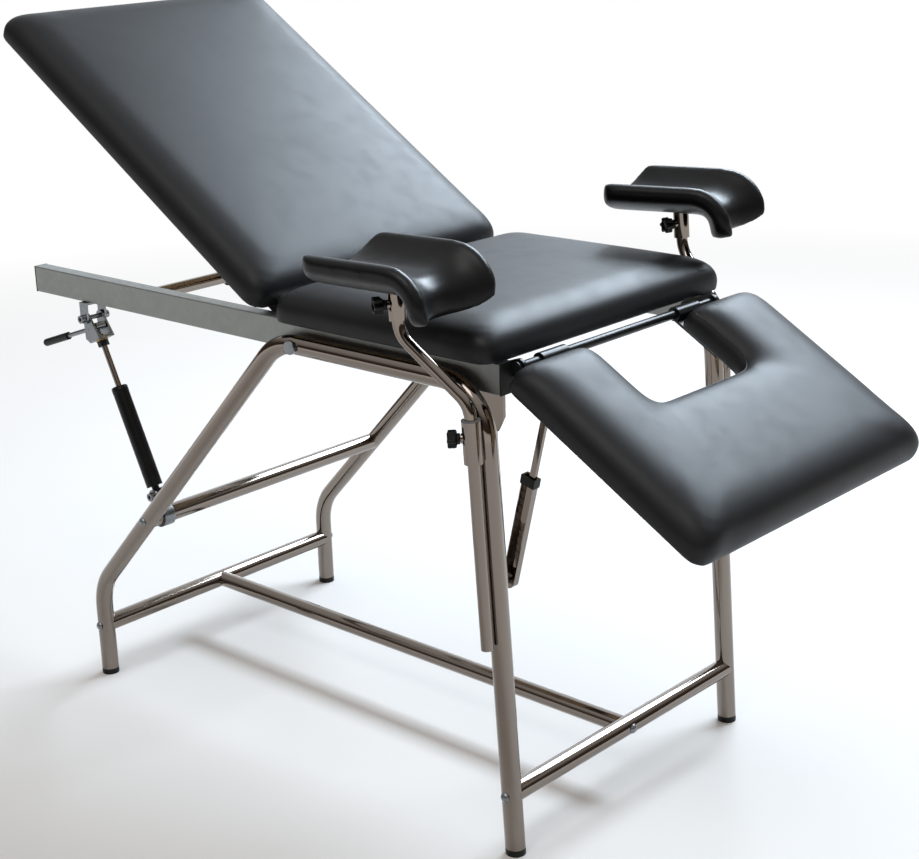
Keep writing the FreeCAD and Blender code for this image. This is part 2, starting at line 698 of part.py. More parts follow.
def back_hinge_arm_flat():
    """Left hinge arm under the backrest board."""
    outer = -RAIL_INNER_Y + BACK_BRACKET_THICK + FACE_ROOM
    inner = outer + BACK_ARM_THICK
    top = CUSHION_UNDER_Z
    bottom = top - BACK_ARM_DEPTH
    far = BACK_HINGE_X - BACK_ARM_LENGTH
    outline = [(BACK_HINGE_X, bottom + BACK_ARM_HEEL), (BACK_HINGE_X + BACK_EYE_R, BACK_HINGE_Z),
               (BACK_HINGE_X - BACK_EYE_R, BACK_HINGE_Z), (BACK_HINGE_X - BACK_EYE_R, top),
               (far, top), (far, top - BACK_ARM_TIP_DEPTH),
               (far + BACK_ARM_DEPTH, bottom), (BACK_HINGE_X - BACK_ARM_DEPTH, bottom)]
    eye = bar_across(BACK_HINGE_X, BACK_HINGE_Z, outer, inner, 2 * BACK_EYE_R)
    hole = bar_across(BACK_HINGE_X, BACK_HINGE_Z, outer, inner, BACK_PIN_D + 2 * RUNNING_FIT)
    return plate(outline, outer, inner).fuse(eye).cut(hole).removeSplitter()


PROP_PIVOT_FLAT = (BACK_HINGE_X - PROP_PIVOT_OUT, BACK_HINGE_Z - PROP_PIVOT_BELOW)
PROP_INNER_Y = PROP_ARM_Y - PROP_ARM_THICK / 2
PROP_OUTER_Y = PROP_ARM_Y + PROP_ARM_THICK / 2


def prop_pivot():
    """Prop pivot (x, z) in the rest pose."""
    point = Part.Vertex(PROP_PIVOT_FLAT[0], 0, PROP_PIVOT_FLAT[1])
    moved = raised(point).Point
    return moved.x, moved.z


def prop_foot():
    """Middle of the foot bar (x, z) in the rest pose."""
    x, z = prop_pivot()
    drop = z - PROP_FOOT_Z
    return x - math.sqrt(PROP_LENGTH ** 2 - drop ** 2), PROP_FOOT_Z


def prop_bracket_flat():
    """Plate and lugs under the backrest board that carry the prop's pin."""
    x, z = PROP_PIVOT_FLAT
    outer = PROP_INNER_Y - FACE_ROOM
    base = box((x - PROP_PLATE_HALF, x + PROP_PLATE_HALF), (-outer, outer),
               (CUSHION_UNDER_Z - PROP_PLATE_THICK, CUSHION_UNDER_Z))
    shapes = []
    for side in SIDES.values():
        faces = (side * outer, side * (outer - PROP_LUG_THICK))
        shapes.append(hung_lug(x, z, PROP_ARM_WIDTH / 2, CUSHION_UNDER_Z, faces[0], faces[1]))
    hole = bar_across(x, z, -outer, outer, PROP_PIN_D + 2 * RUNNING_FIT)
    return base.fuse(shapes).cut(hole).removeSplitter()


def prop_pin_flat():
    """Headed pin through the prop's lugs and arms."""
    x, z = PROP_PIVOT_FLAT
    reach = PROP_OUTER_Y + FACE_ROOM
    pin = bar_across(x, z, -reach, reach, PROP_PIN_D)
    heads = [bar_across(x, z, side * reach, side * (reach + PROP_PLATE_THICK), PROP_PIN_HEAD)
             for side in SIDES.values()]
    return pin.fuse(heads).removeSplitter()


def prop_arms():
    """Two flat arms from the backrest pivot to the foot bar."""
    pivot = prop_pivot()
    foot = prop_foot()
    arm = link(pivot, foot, PROP_ARM_WIDTH, -PROP_OUTER_Y, -PROP_INNER_Y)
    eye = bar_across(foot[0], foot[1], -PROP_OUTER_Y, -PROP_INNER_Y, 2 * PROP_EYE_R)
    pin_hole = bar_across(pivot[0], pivot[1], -PROP_OUTER_Y, -PROP_INNER_Y, PROP_PIN_D + 2 * RUNNING_FIT)
    bar_hole = bar_across(foot[0], foot[1], -PROP_OUTER_Y, -PROP_INNER_Y, CROSS_TUBE_D + 2 * WELD_GAP)
    return both_sides(arm.fuse(eye).cut([pin_hole, bar_hole]).removeSplitter())


def prop_foot_bar():
    """Tube across the table that rests on the racks."""
    x, z = prop_foot()
    ends = [Vector(x, side * PROP_BAR_HALF, z) for side in (-1, 1)]
    return round_tube(ends[0], ends[1], CROSS_TUBE_D, CROSS_TUBE_D - 2 * CROSS_TUBE_WALL)


def prop_rack():
    """Left toothed rack on the rail's inner face."""
    tip_z = PROP_FOOT_Z - CROSS_TUBE_D / 2 - RACK_ROOM
    outline = [(RACK_REAR_X, RACK_BOTTOM_Z)]
    for tooth in range(RACK_TEETH):
        x = RACK_REAR_X + tooth * RACK_PITCH
        outline += [(x, tip_z), (x + RACK_TIP_WIDTH, tip_z), (x + RACK_SLOPE_END, RACK_VALLEY_Z)]
    end = RACK_REAR_X + RACK_TEETH * RACK_PITCH
    outline += [(end, RACK_VALLEY_Z), (end, RACK_BOTTOM_Z)]
    return plate(outline, -RAIL_INNER_Y, -RAIL_INNER_Y + RACK_THICK)


# Leg section hinge and strut

def leg_hinge_bracket():
    """Left bracket on the rail's inner face that holds the axle."""
    outer = -RAIL_INNER_Y
    inner = outer + LEG_BRACKET_THICK
    body = link((LEG_BRACKET_REAR_X, RAIL_TOP_Z - RAIL_HEIGHT / 2), (LEG_HINGE_X, LEG_HINGE_Z),
                2 * LEG_BRACKET_R, outer, inner)
    return body.cut(axle_bar(AXLE_D + 2 * RUNNING_FIT))


def axle_bar(diameter):
    """Bar along the leg hinge line, from outside to outside of the brackets."""
    return bar_across(LEG_HINGE_X, LEG_HINGE_Z, -RAIL_INNER_Y, RAIL_INNER_Y, diameter)


def leg_axle():
    """Axle with a nut outside each bracket."""
    nut_end = RAIL_INNER_Y + AXLE_NUT_THICK
    nuts = [bar_across(LEG_HINGE_X, LEG_HINGE_Z, side * RAIL_INNER_Y, side * nut_end, AXLE_NUT_D)
            for side in SIDES.values()]
    return axle_bar(AXLE_D).fuse(nuts).removeSplitter()


def leg_hinge_leaf_flat():
    """Left knuckle and leaf under the leg board."""
    knuckle = bar_across(LEG_HINGE_X, LEG_HINGE_Z, -KNUCKLE_OUTER_Y, -KNUCKLE_INNER_Y, KNUCKLE_D)
    leaf = box((LEG_HINGE_X, LEG_HINGE_X + LEAF_LENGTH), (-KNUCKLE_OUTER_Y, -KNUCKLE_INNER_Y),
               (LEG_UNDER_Z - LEAF_THICK, LEG_UNDER_Z))
    return knuckle.fuse(leaf).cut(axle_bar(AXLE_D + 2 * RUNNING_FIT)).removeSplitter()


STRUT_PIVOT_FLAT = (LEG_HINGE_X + STRUT_PIVOT_OUT, LEG_HINGE_Z - STRUT_PIVOT_BELOW)
CHANNEL_NEAR_Y = STRUT_Y - CHANNEL_DEPTH / 2
CHANNEL_FAR_Y = STRUT_Y + CHANNEL_DEPTH / 2
BAR_NEAR_Y = STRUT_Y - STRUT_BAR_THICK / 2 - FACE_ROOM
BAR_FAR_Y = BAR_NEAR_Y + STRUT_BAR_THICK


def strut_lugs_flat():
    """Forked lug under the leg board with the strut's upper pin."""
    x, z = STRUT_PIVOT_FLAT
    half = STRUT_LUG_HALF
    lugs = []
    for y_from, y_to in ((BAR_NEAR_Y - FACE_ROOM - STRUT_LUG_THICK, BAR_NEAR_Y - FACE_ROOM),
                         (BAR_FAR_Y + FACE_ROOM, BAR_FAR_Y + FACE_ROOM + STRUT_LUG_THICK)):
        lugs.append(hung_lug(x, z, half, LEG_UNDER_Z, y_from, y_to))
    near = BAR_NEAR_Y - FACE_ROOM - STRUT_LUG_THICK
    far = BAR_FAR_Y + FACE_ROOM + STRUT_LUG_THICK
    base = box((x - half, x + half), (near, far), (LEG_UNDER_Z - STRUT_LUG_BASE, LEG_UNDER_Z))
    pin = bar_across(x, z, near, far, STRUT_PIN_D)
    return base.fuse(lugs + [pin]).removeSplitter()


def along_strut(shape):
    """Strut piece drawn upright at the foot pivot, leaned to the channel's slope."""
    return turned(shape, STRUT_FOOT_X, STRUT_FOOT_Z, 90 - STRUT_ANGLE)


def strut_channel():
    """Toothed channel on the foot pivot, open to the near side."""
    x, z = STRUT_FOOT_X, STRUT_FOOT_Z
    half = CHANNEL_INNER / 2 + CHANNEL_WALL
    web = CHANNEL_FAR_Y - CHANNEL_WALL
    between_walls = (x - CHANNEL_INNER / 2, x + CHANNEL_INNER / 2)
    body = box((x - half, x + half), (CHANNEL_NEAR_Y, CHANNEL_FAR_Y), (z, z + CHANNEL_TOP))
    hollow = box(between_walls, (CHANNEL_NEAR_Y, web), (z + CHANNEL_FOOT_R, z + CHANNEL_TOP))
    foot = bar_across(x, z, CHANNEL_NEAR_Y, CHANNEL_FAR_Y, 2 * half)
    teeth = []
    for index in range(CHANNEL_TEETH):
        low = z + CHANNEL_TOP - CHANNEL_TOOTH_PITCH * (index + 1)
        teeth.append(box(between_walls, (web - CHANNEL_TOOTH_HEIGHT, web), (low, low + CHANNEL_TOOTH_WIDTH)))
    hole = bar_across(x, z, CHANNEL_NEAR_Y, CHANNEL_FAR_Y, STRUT_PIN_D + 2 * RUNNING_FIT)
    body = body.cut(hollow).fuse([foot] + teeth).cut(hole).removeSplitter()
    return along_strut(body)


def strut_collar():
    """Black plastic collar round the channel's top end."""
    half = CHANNEL_INNER / 2 + CHANNEL_WALL
    top = STRUT_FOOT_Z + CHANNEL_TOP
    outer = box((STRUT_FOOT_X - half - COLLAR_THICK, STRUT_FOOT_X + half + COLLAR_THICK),
                (CHANNEL_NEAR_Y - COLLAR_THICK, CHANNEL_FAR_Y + COLLAR_THICK), (top - COLLAR_LENGTH, top))
    channel = box((STRUT_FOOT_X - half, STRUT_FOOT_X + half), (CHANNEL_NEAR_Y, CHANNEL_FAR_Y),
                  (top - COLLAR_LENGTH, top))
    return along_strut(outer.cut(channel))


def strut_bar():
    """Flat bar from the upper pivot down into the channel, parallel to it in the rest pose."""
    pivot = lowered(Part.Vertex(STRUT_PIVOT_FLAT[0], 0, STRUT_PIVOT_FLAT[1])).Point
    slope = math.radians(STRUT_ANGLE)
    low = (pivot.x - STRUT_BAR_LENGTH * math.cos(slope), pivot.z - STRUT_BAR_LENGTH * math.sin(slope))
    bar = link(low, (pivot.x, pivot.z), STRUT_BAR_WIDTH, BAR_NEAR_Y, BAR_FAR_Y)
    eye = bar_across(pivot.x, pivot.z, BAR_NEAR_Y, BAR_FAR_Y, STRUT_EYE_D)
    hole = bar_across(pivot.x, pivot.z, BAR_NEAR_Y, BAR_FAR_Y, STRUT_PIN_D + 2 * RUNNING_FIT)
    return bar.fuse(eye).cut(hole).removeSplitter()


def strut_hanger():
    """Flat hanger from the left rail down to the strut's foot, with its pin."""
    outer = -RAIL_INNER_Y
    inner = outer + HANGER_THICK
    top = (HANGER_TOP_X, RAIL_BOTTOM_Z + HANGER_WIDTH / 2)
    arm = link(top, (STRUT_FOOT_X, STRUT_FOOT_Z), HANGER_WIDTH, outer, inner)
    rear = HANGER_TOP_X - HANGER_WIDTH / 2
    crown = RAIL_BOTTOM_Z + GUSSET_RISE
    gusset = [(rear, RAIL_BOTTOM_Z - GUSSET_REAR_DROP), (HANGER_TOP_X, RAIL_BOTTOM_Z - GUSSET_LOW_DROP),
              (GUSSET_TOE_X, RAIL_BOTTOM_Z - GUSSET_TOE_DROP),
              (HANGER_FRONT_X, RAIL_BOTTOM_Z - GUSSET_FRONT_DROP), (HANGER_FRONT_X, RAIL_BOTTOM_Z),
              (HANGER_FRONT_X - HANGER_WIDTH, crown), (rear, crown)]
    pin = bar_across(STRUT_FOOT_X, STRUT_FOOT_Z, outer, CHANNEL_FAR_Y + FACE_ROOM, STRUT_PIN_D)
    keeper_y = CHANNEL_FAR_Y + FACE_ROOM
    keeper = bar_across(STRUT_FOOT_X, STRUT_FOOT_Z, keeper_y, keeper_y + STRUT_LUG_THICK, STRUT_KEEPER_D)
    body = arm.fuse([plate(gusset, outer, inner), pin, keeper]).removeSplitter()
    return body.cut(leg_bracket_room())


def leg_bracket_room():
    """Space of the left leg hinge bracket, kept free in the hanger's gusset."""
    return link((LEG_BRACKET_REAR_X, RAIL_TOP_Z - RAIL_HEIGHT / 2), (LEG_HINGE_X, LEG_HINGE_Z),
                2 * LEG_BRACKET_R + 2 * FACE_ROOM, -RAIL_INNER_Y, -RAIL_INNER_Y + LEG_BRACKET_THICK)


# Locking gas spring

GAS_FOOT = Vector(GAS_FOOT_X, GAS_Y, GAS_FOOT_Z)
GAS_TOP = Vector(GAS_TOP_X, GAS_Y, GAS_TOP_Z)
GAS_UP = (GAS_TOP - GAS_FOOT).normalize()
GAS_AHEAD = Y_AXIS.cross(GAS_UP)
GAS_LENGTH = (GAS_TOP - GAS_FOOT).Length


def gas_at(distance):
    """Point on the spring's axis, measured up from the lower pin."""
    return GAS_FOOT + GAS_UP * distance


def head_point(ahead, under):
    """(x, z) of a point of the release head: ahead of the spring axis and below the upper bolt."""
    point = GAS_TOP + GAS_AHEAD * ahead - GAS_UP * under
    return point.x, point.z


def gas_cylinder():
    """Black cylinder with a gland at the top and an eye at the foot."""
    body = round_bar(gas_at(GAS_SHELL_AT), gas_at(GAS_GLAND_AT), GAS_D)
    bore = round_bar(gas_at(GAS_BOTTOM_AT), gas_at(GAS_GLAND_AT - GAS_GLAND_THICK), GAS_D - 2 * GAS_WALL)
    gland = round_bar(gas_at(GAS_BOTTOM_AT), gas_at(GAS_LENGTH), GAS_ROD_D + 2 * GAS_ROD_ROOM)
    eye = bar_across(GAS_FOOT_X, GAS_FOOT_Z, GAS_Y - GAS_EYE_WIDTH / 2, GAS_Y + GAS_EYE_WIDTH / 2, GAS_EYE_D)
    hole = bar_across(GAS_FOOT_X, GAS_FOOT_Z, GAS_Y - GAS_D, GAS_Y + GAS_D, GAS_PIN_D + 2 * RUNNING_FIT)
    neck = round_bar(gas_at(0), gas_at(GAS_SHELL_AT), GAS_NECK_D)
    body = body.cut(bore).cut(gland)
    return body.fuse([eye, neck]).cut(hole)


def gas_rod():
    """Bright rod with the piston at its lower end, bored for the valve pin."""
    low = gas_at(GAS_GLAND_AT - GAS_ROD_INSIDE)
    rod = round_bar(low, gas_at(GAS_LENGTH - ROD_TIP_BELOW), GAS_ROD_D)
    piston = round_bar(low, low + GAS_UP * GAS_PISTON_LENGTH, GAS_D - 2 * GAS_WALL - 2 * GAS_ROD_ROOM)
    top = GAS_LENGTH - VALVE_TOP_BELOW
    bore = round_bar(gas_at(top - VALVE_LENGTH - HEAD_WEB_THICK), gas_at(top), VALVE_D + 2 * VALVE_FIT)
    return rod.fuse(piston).cut(bore).removeSplitter()


def valve_pin():
    """Pin in the rod's tip that the lever presses to unlock the spring."""
    top = GAS_LENGTH - VALVE_TOP_BELOW
    return round_bar(gas_at(top - VALVE_LENGTH), gas_at(top), VALVE_D)


HEAD_WEB_AT = GAS_LENGTH - HEAD_WEB_BELOW


def rod_lock_nut():
    """Black hexagon nut that locks the rod under the release head."""
    top = HEAD_WEB_AT - WASHER_THICK
    radius = LOCK_NUT_ACROSS / math.sqrt(3)
    low = gas_at(top - LOCK_NUT_THICK)
    ahead = GAS_AHEAD * radius
    corners = []
    for index in range(7):
        turn = math.radians(60 * index)
        corners.append(low + ahead * math.cos(turn) + Y_AXIS * (radius * math.sin(turn)))
    nut = Part.Face(Part.makePolygon(corners)).extrude(GAS_UP * LOCK_NUT_THICK)
    return nut.cut(round_bar(low, gas_at(top), GAS_ROD_D))


def rod_washer():
    """Brass washer between the lock nut and the release head."""
    ends = gas_at(HEAD_WEB_AT - WASHER_THICK), gas_at(HEAD_WEB_AT)
    return round_tube(ends[0], ends[1], WASHER_D, GAS_ROD_D)


def release_head():
    """U-shaped zinc head: two side plates on the upper bolt, joined by a web on the rod."""
    half = HEAD_INNER / 2
    outer = half + HEAD_PLATE_THICK
    eye_r = CLEVIS_EYE_R - HEAD_BACKSET
    side_outline = [head_point(-eye_r, 0), head_point(eye_r, 0), head_point(HEAD_FRONT, HEAD_WEB_BELOW),
                    head_point(-HEAD_HEEL, HEAD_WEB_BELOW), head_point(-HEAD_REAR, HEAD_HEEL_BELOW)]
    block = plate(side_outline, GAS_Y - outer, GAS_Y + outer)
    block = block.fuse(bar_across(GAS_TOP_X, GAS_TOP_Z, GAS_Y - outer, GAS_Y + outer, 2 * eye_r))
    inside_floor = HEAD_WEB_BELOW - HEAD_WEB_THICK
    hollow = plate([head_point(-WORK_REACH, -WORK_REACH), head_point(WORK_REACH, -WORK_REACH),
                    head_point(WORK_REACH, inside_floor), head_point(-WORK_REACH, inside_floor)],
                   GAS_Y - half, GAS_Y + half)
    holes = [bar_across(GAS_TOP_X, GAS_TOP_Z, GAS_Y - outer, GAS_Y + outer, GAS_PIN_D + 2 * RUNNING_FIT),
             round_bar(gas_at(HEAD_WEB_AT), gas_at(GAS_LENGTH), GAS_ROD_D)]
    pin_x, pin_z = head_point(-LEVER_PIN_REAR, LEVER_PIN_BELOW)
    pin = bar_across(pin_x, pin_z, GAS_Y - outer - FACE_ROOM / 2, GAS_Y + outer + FACE_ROOM / 2, LEVER_PIN_D)
    return block.cut([hollow] + holes).fuse(pin).removeSplitter()


def lever_line():
    """Lever pin, grip start and lever tip as points on the spring's plane."""
    pin_x, pin_z = head_point(-LEVER_PIN_REAR, LEVER_PIN_BELOW)
    pin = Vector(pin_x, GAS_Y, pin_z)
    tip = Vector(LEVER_TIP_X, GAS_Y, LEVER_TIP_Z)
    back = (tip - pin).normalize()
    return pin, tip - back * GRIP_LENGTH, tip


def release_lever():
    """Lever on the head's pin: a cam nose over the valve pin and a rod to the grip."""
    pin, grip_start, tip = lever_line()
    half = LEVER_CAM_WIDTH / 2
    nose = pin + GAS_AHEAD * LEVER_NOSE
    cam = link((pin.x, pin.z), (nose.x, nose.z), 2 * LEVER_CAM_R, GAS_Y - half, GAS_Y + half)
    back = (tip - pin).normalize()
    rod = round_bar(pin, tip - back * GRIP_D, LEVER_ROD_D)
    hole = bar_across(pin.x, pin.z, GAS_Y - half, GAS_Y + half, LEVER_PIN_D + 2 * RUNNING_FIT)
    return cam.fuse(rod).cut(hole).removeSplitter()


def lever_grip():
    """Black sleeve on the lever, with a round end."""
    pin, start, tip = lever_line()
    back = (tip - pin).normalize()
    ball_at = tip - back * (GRIP_D / 2)
    grip = round_bar(start, ball_at, GRIP_D).fuse(Part.makeSphere(GRIP_D / 2, ball_at))
    rod = round_bar(pin, tip - back * GRIP_D, LEVER_ROD_D)
    return grip.cut(rod).removeSplitter()


HEAD_OUTER = HEAD_INNER / 2 + HEAD_PLATE_THICK
CLEVIS_INNER = HEAD_OUTER + FACE_ROOM


def gas_upper_clevis():
    """Bent bracket under the left rail whose two lugs hold the release head."""
    half = CLEVIS_WIDTH / 2
    lugs = []
    for side in (-1, 1):
        faces = (GAS_Y + side * CLEVIS_INNER, GAS_Y + side * (CLEVIS_INNER + CLEVIS_THICK))
        lugs.append(hung_lug(GAS_TOP_X, GAS_TOP_Z, half, RAIL_BOTTOM_Z, faces[0], faces[1]))
    reach = CLEVIS_INNER + CLEVIS_THICK
    top = box((GAS_TOP_X - half, GAS_TOP_X + half), (GAS_Y - reach, GAS_Y + reach),
              (RAIL_BOTTOM_Z - CLEVIS_THICK, RAIL_BOTTOM_Z))
    hole = bar_across(GAS_TOP_X, GAS_TOP_Z, GAS_Y - reach, GAS_Y + reach, GAS_PIN_D + 2 * RUNNING_FIT)
    return top.fuse(lugs).cut(hole).removeSplitter()


def headed_bolt(x, z, middle, reach):
    """Bolt across the spring: socket head on the near side, nut on the far side."""
    near = middle - reach
    far = middle + reach
    shank = bar_across(x, z, near, far, GAS_PIN_D)
    face = near - GAS_BOLT_HEAD_THICK
    head = bar_across(x, z, face, near, GAS_BOLT_HEAD_D)
    socket = bar_across(x, z, face, face + BOLT_SOCKET_DEPTH, BOLT_SOCKET_D)
    nut = bar_across(x, z, far, far + GAS_BOLT_HEAD_THICK, GAS_BOLT_HEAD_D)
    return shank.fuse([head.cut(socket), nut]).removeSplitter()


def gas_upper_bolt():
    """Bolt through the clevis and the release head."""
    return headed_bolt(GAS_TOP_X, GAS_TOP_Z, GAS_Y, CLEVIS_INNER + CLEVIS_THICK)


LOWER_LUG_INNER = GAS_EYE_WIDTH / 2 + FACE_ROOM


def gas_lower_bracket():
    """Forked bracket welded on the middle crossbar."""
    bar_x, bar_z = CROSSBARS["middle_crossbar"]
    lugs = []
    for side in (-1, 1):
        faces = (GAS_Y + side * LOWER_LUG_INNER, GAS_Y + side * (LOWER_LUG_INNER + GAS_LUG_THICK))
        lugs.append(link((bar_x, bar_z), (GAS_FOOT_X, GAS_FOOT_Z), GAS_LUG_WIDTH, min(faces), max(faces)))
    hole = bar_across(GAS_FOOT_X, GAS_FOOT_Z, GAS_Y - GAS_D, GAS_Y + GAS_D, GAS_PIN_D + 2 * RUNNING_FIT)
    reach = LOWER_LUG_INNER + GAS_LUG_THICK
    saddle = bar_across(bar_x, bar_z, GAS_Y - reach, GAS_Y + reach, TUBE_D + 2 * GAS_LUG_THICK)
    bar = bar_across(bar_x, bar_z, -TRACK_HALF, TRACK_HALF, TUBE_D + 2 * WELD_GAP)
    return saddle.fuse(lugs).cut([bar, hole]).removeSplitter()


def gas_lower_bolt():
    """Bolt through the lower bracket and the cylinder's eye."""
    return headed_bolt(GAS_FOOT_X, GAS_FOOT_Z, GAS_Y, LOWER_LUG_INNER + GAS_LUG_THICK)


# Leg crutches, drawn upright about their own axis and then leaned with the front leg

def crutch_place(shape, side):
    """Crutch piece moved from the upright drawing to the leaning socket."""
    leaning = shape.rotated(Vector(0, 0, 0), Y_AXIS, -LEAN)
    return leaning.translated(Vector(FRONT_FOOT_X, SIDES[side] * SOCKET_Y, 0))


def swung(shape, side):
    """Upright crutch piece turned outward to its rest pose."""
    return shape.rotated(Vector(0, 0, 0), Z_AXIS, -SIDES[side] * CRUTCH_SWING)


def upright(low, high, diameter):
    """Round bar along the crutch's own axis."""
    return round_bar(Vector(0, 0, low), Vector(0, 0, high), diameter)


def radial_bar(angle, z, near, far, diameter):
    """Bar out from the crutch's axis, its angle measured from -X."""
    out = Vector(-math.cos(math.radians(angle)), -math.sin(math.radians(angle)), 0)
    height = Vector(0, 0, z)
    return round_bar(out * near + height, out * far + height, diameter)


def crutch_socket(side):
    """Chrome sleeve on the outer side of a front leg, with a saddle and a threaded boss."""
    body = upright(SOCKET_BOTTOM, SOCKET_TOP, SOCKET_D)
    inward = -SIDES[side]
    half = SADDLE_WIDTH / 2
    saddle = box((-half, half), (0, inward * (SOCKET_D / 2 + SOCKET_GAP + TUBE_D / 2)),
                 (SOCKET_BOTTOM, SOCKET_BOTTOM + SADDLE_HEIGHT))
    leg_y = inward * (SOCKET_Y - TRACK_HALF)
    leg = round_bar(Vector(0, leg_y, 0), Vector(0, leg_y, TOP_RUN_Z), TUBE_D + 2 * WELD_GAP)
    turn = -SIDES[side] * KNOB_LOW_TURN
    boss = radial_bar(turn, KNOB_LOW, 0, KNOB_BOSS_OUT, KNOB_BOSS_D)
    bore = upright(SOCKET_BOTTOM, SOCKET_TOP, SOCKET_BORE)
    stud_hole = radial_bar(turn, KNOB_LOW, 0, KNOB_BOSS_OUT, KNOB_STUD_D + 2 * RUNNING_FIT)
    body = body.fuse([saddle, boss]).cut([leg, bore, stud_hole]).removeSplitter()
    return crutch_place(body, side)


def crutch_liner(side):
    """Nylon bush in the socket that the rod slides and turns in."""
    bush_d = SOCKET_BORE - 2 * RUNNING_FIT
    body = upright(SOCKET_BOTTOM, SOCKET_TOP + LINER_FLANGE, bush_d)
    flange = upright(SOCKET_TOP + STUD_ROOM, SOCKET_TOP + LINER_FLANGE, SOCKET_D)
    bore = upright(SOCKET_BOTTOM, SOCKET_TOP + LINER_FLANGE, CRUTCH_ROD_D + 2 * RUNNING_FIT)
    return crutch_place(body.fuse(flange).cut(bore).removeSplitter(), side)


def crutch_rod(side):
    """Cranked rod from the socket up to the pad."""
    points = [Vector(0, 0, CRUTCH_ROD_BOTTOM), Vector(0, 0, CRUTCH_BEND_LOW),
              Vector(-CRUTCH_REACH, 0, CRUTCH_BEND_LOW + CRUTCH_RISE),
              Vector(-CRUTCH_REACH, 0, SLEEVE_TOP - ROD_END_ROOM)]
    rod = bent_bar(points, [0, CRUTCH_BEND_R, CRUTCH_BEND_R, 0], CRUTCH_ROD_D)
    return crutch_place(swung(rod, side), side)


def pad_axis_place(shape, side):
    """Piece drawn upright about the pad's axis, moved to the crutch's upper end."""
    yawed = shape.rotated(Vector(0, 0, 0), Z_AXIS, PAD_YAW[side])
    turn = math.radians(SIDES[side] * CRUTCH_SWING)
    offset = Vector(-CRUTCH_REACH * math.cos(turn), CRUTCH_REACH * math.sin(turn), 0)
    return crutch_place(yawed.translated(offset), side)


def pad_level_place(shape, side):
    """Piece drawn level about the top of the pad sleeve, moved to the crutch's upper end."""
    yawed = shape.rotated(Vector(0, 0, 0), Z_AXIS, PAD_YAW[side])
    top = pad_axis_place(Part.Vertex(0, 0, SLEEVE_TOP), side).Point
    return yawed.translated(top)


def pad_plate(drop):
    """Level plate under the pad; a drop takes its underside lower, for cutting its pocket."""
    return box((-PAD_PLATE_LENGTH / 2, PAD_PLATE_LENGTH / 2), (-PAD_PLATE_WIDTH / 2, PAD_PLATE_WIDTH / 2),
               (-drop, PAD_PLATE_THICK))


def pad_sleeve(side):
    """Sleeve that turns on the rod's top end, with the plate that carries the pad."""
    body = upright(SLEEVE_BOTTOM, SLEEVE_TOP + PAD_PLATE_THICK / 2, SLEEVE_D)
    boss = radial_bar(KNOB_HIGH_TURN, KNOB_HIGH, 0, KNOB_BOSS_OUT, KNOB_BOSS_D)
    bore = upright(SLEEVE_BOTTOM, SLEEVE_TOP - ROD_END_ROOM / 2, CRUTCH_ROD_D + 2 * RUNNING_FIT)
    stud_hole = radial_bar(KNOB_HIGH_TURN, KNOB_HIGH, 0, KNOB_BOSS_OUT, KNOB_STUD_D + 2 * RUNNING_FIT)
    sleeve = pad_axis_place(body.fuse(boss).cut([bore, stud_hole]), side)
    return sleeve.fuse(pad_level_place(pad_plate(0), side)).removeSplitter()


def pad_section(x):
    """Trough section with thick rounded rims, across the pad at a station."""
    rims = list(zip((-1, 1), PAD_RIM_HEIGHTS))
    crest = [Vector(x, side * PAD_RIM_INNER, height) for side, height in rims]
    outer = [Vector(x, side * PAD_RIM_OUTER, height - PAD_RIM_DROP) for side, height in rims]
    under = [Vector(x, side * PAD_UNDER_HALF, height - PAD_RIM_THICK) for side, height in rims]
    edges = [Part.Arc(crest[0], Vector(x, 0, PAD_CENTRE_THICK), crest[1]).toShape(),
             Part.Arc(crest[1], outer[1], under[1]).toShape(),
             Part.Arc(under[1], Vector(x, 0, 0), under[0]).toShape(),
             Part.Arc(under[0], outer[0], crest[0]).toShape()]
    return Part.Wire(edges)


def crutch_pad(side):
    """Moulded trough whose front lip turns down, with rounded corners and a pocket for its plate."""
    angle = math.radians(PAD_BEND_ANGLE)
    bend_end = Vector(PAD_BEND + PAD_BEND_R * math.sin(angle), 0, PAD_BEND_R * (math.cos(angle) - 1))
    half = Vector(PAD_BEND + PAD_BEND_R * math.sin(angle / 2), 0, PAD_BEND_R * (math.cos(angle / 2) - 1))
    start = Vector(PAD_BEND, 0, 0)
    lip_end = bend_end + Vector(math.cos(angle), 0, -math.sin(angle)) * PAD_LIP
    path = Part.Wire([Part.makeLine(Vector(PAD_REAR, 0, 0), start), Part.Arc(start, half, bend_end).toShape(),
                      Part.makeLine(bend_end, lip_end)])
    body = path.makePipeShell([pad_section(PAD_REAR)], True, False)
    wide = PAD_RIM_OUTER + FACE_ROOM
    low, high = PAD_CORNER_RADII
    plan = [(PAD_REAR, -wide), (WORK_REACH, -wide), (WORK_REACH, wide), (PAD_REAR, wide)]
    plan_wire = rounded_wire([Vector(x, y, -WORK_REACH) for x, y in plan], [low, low, high, high], True)
    front = [(-wide, lip_end.z), (wide, lip_end.z), (wide, WORK_REACH), (-wide, WORK_REACH)]
    front_wire = rounded_wire([Vector(-WORK_REACH, y, z) for y, z in front], [low, high, high, low], True)
    body = body.common(Part.Face(plan_wire).extrude(Vector(0, 0, 2 * WORK_REACH)))
    body = body.common(Part.Face(front_wire).extrude(Vector(2 * WORK_REACH, 0, 0)))
    return pad_level_place(body.cut(pad_plate(PAD_PLATE_THICK)), side)


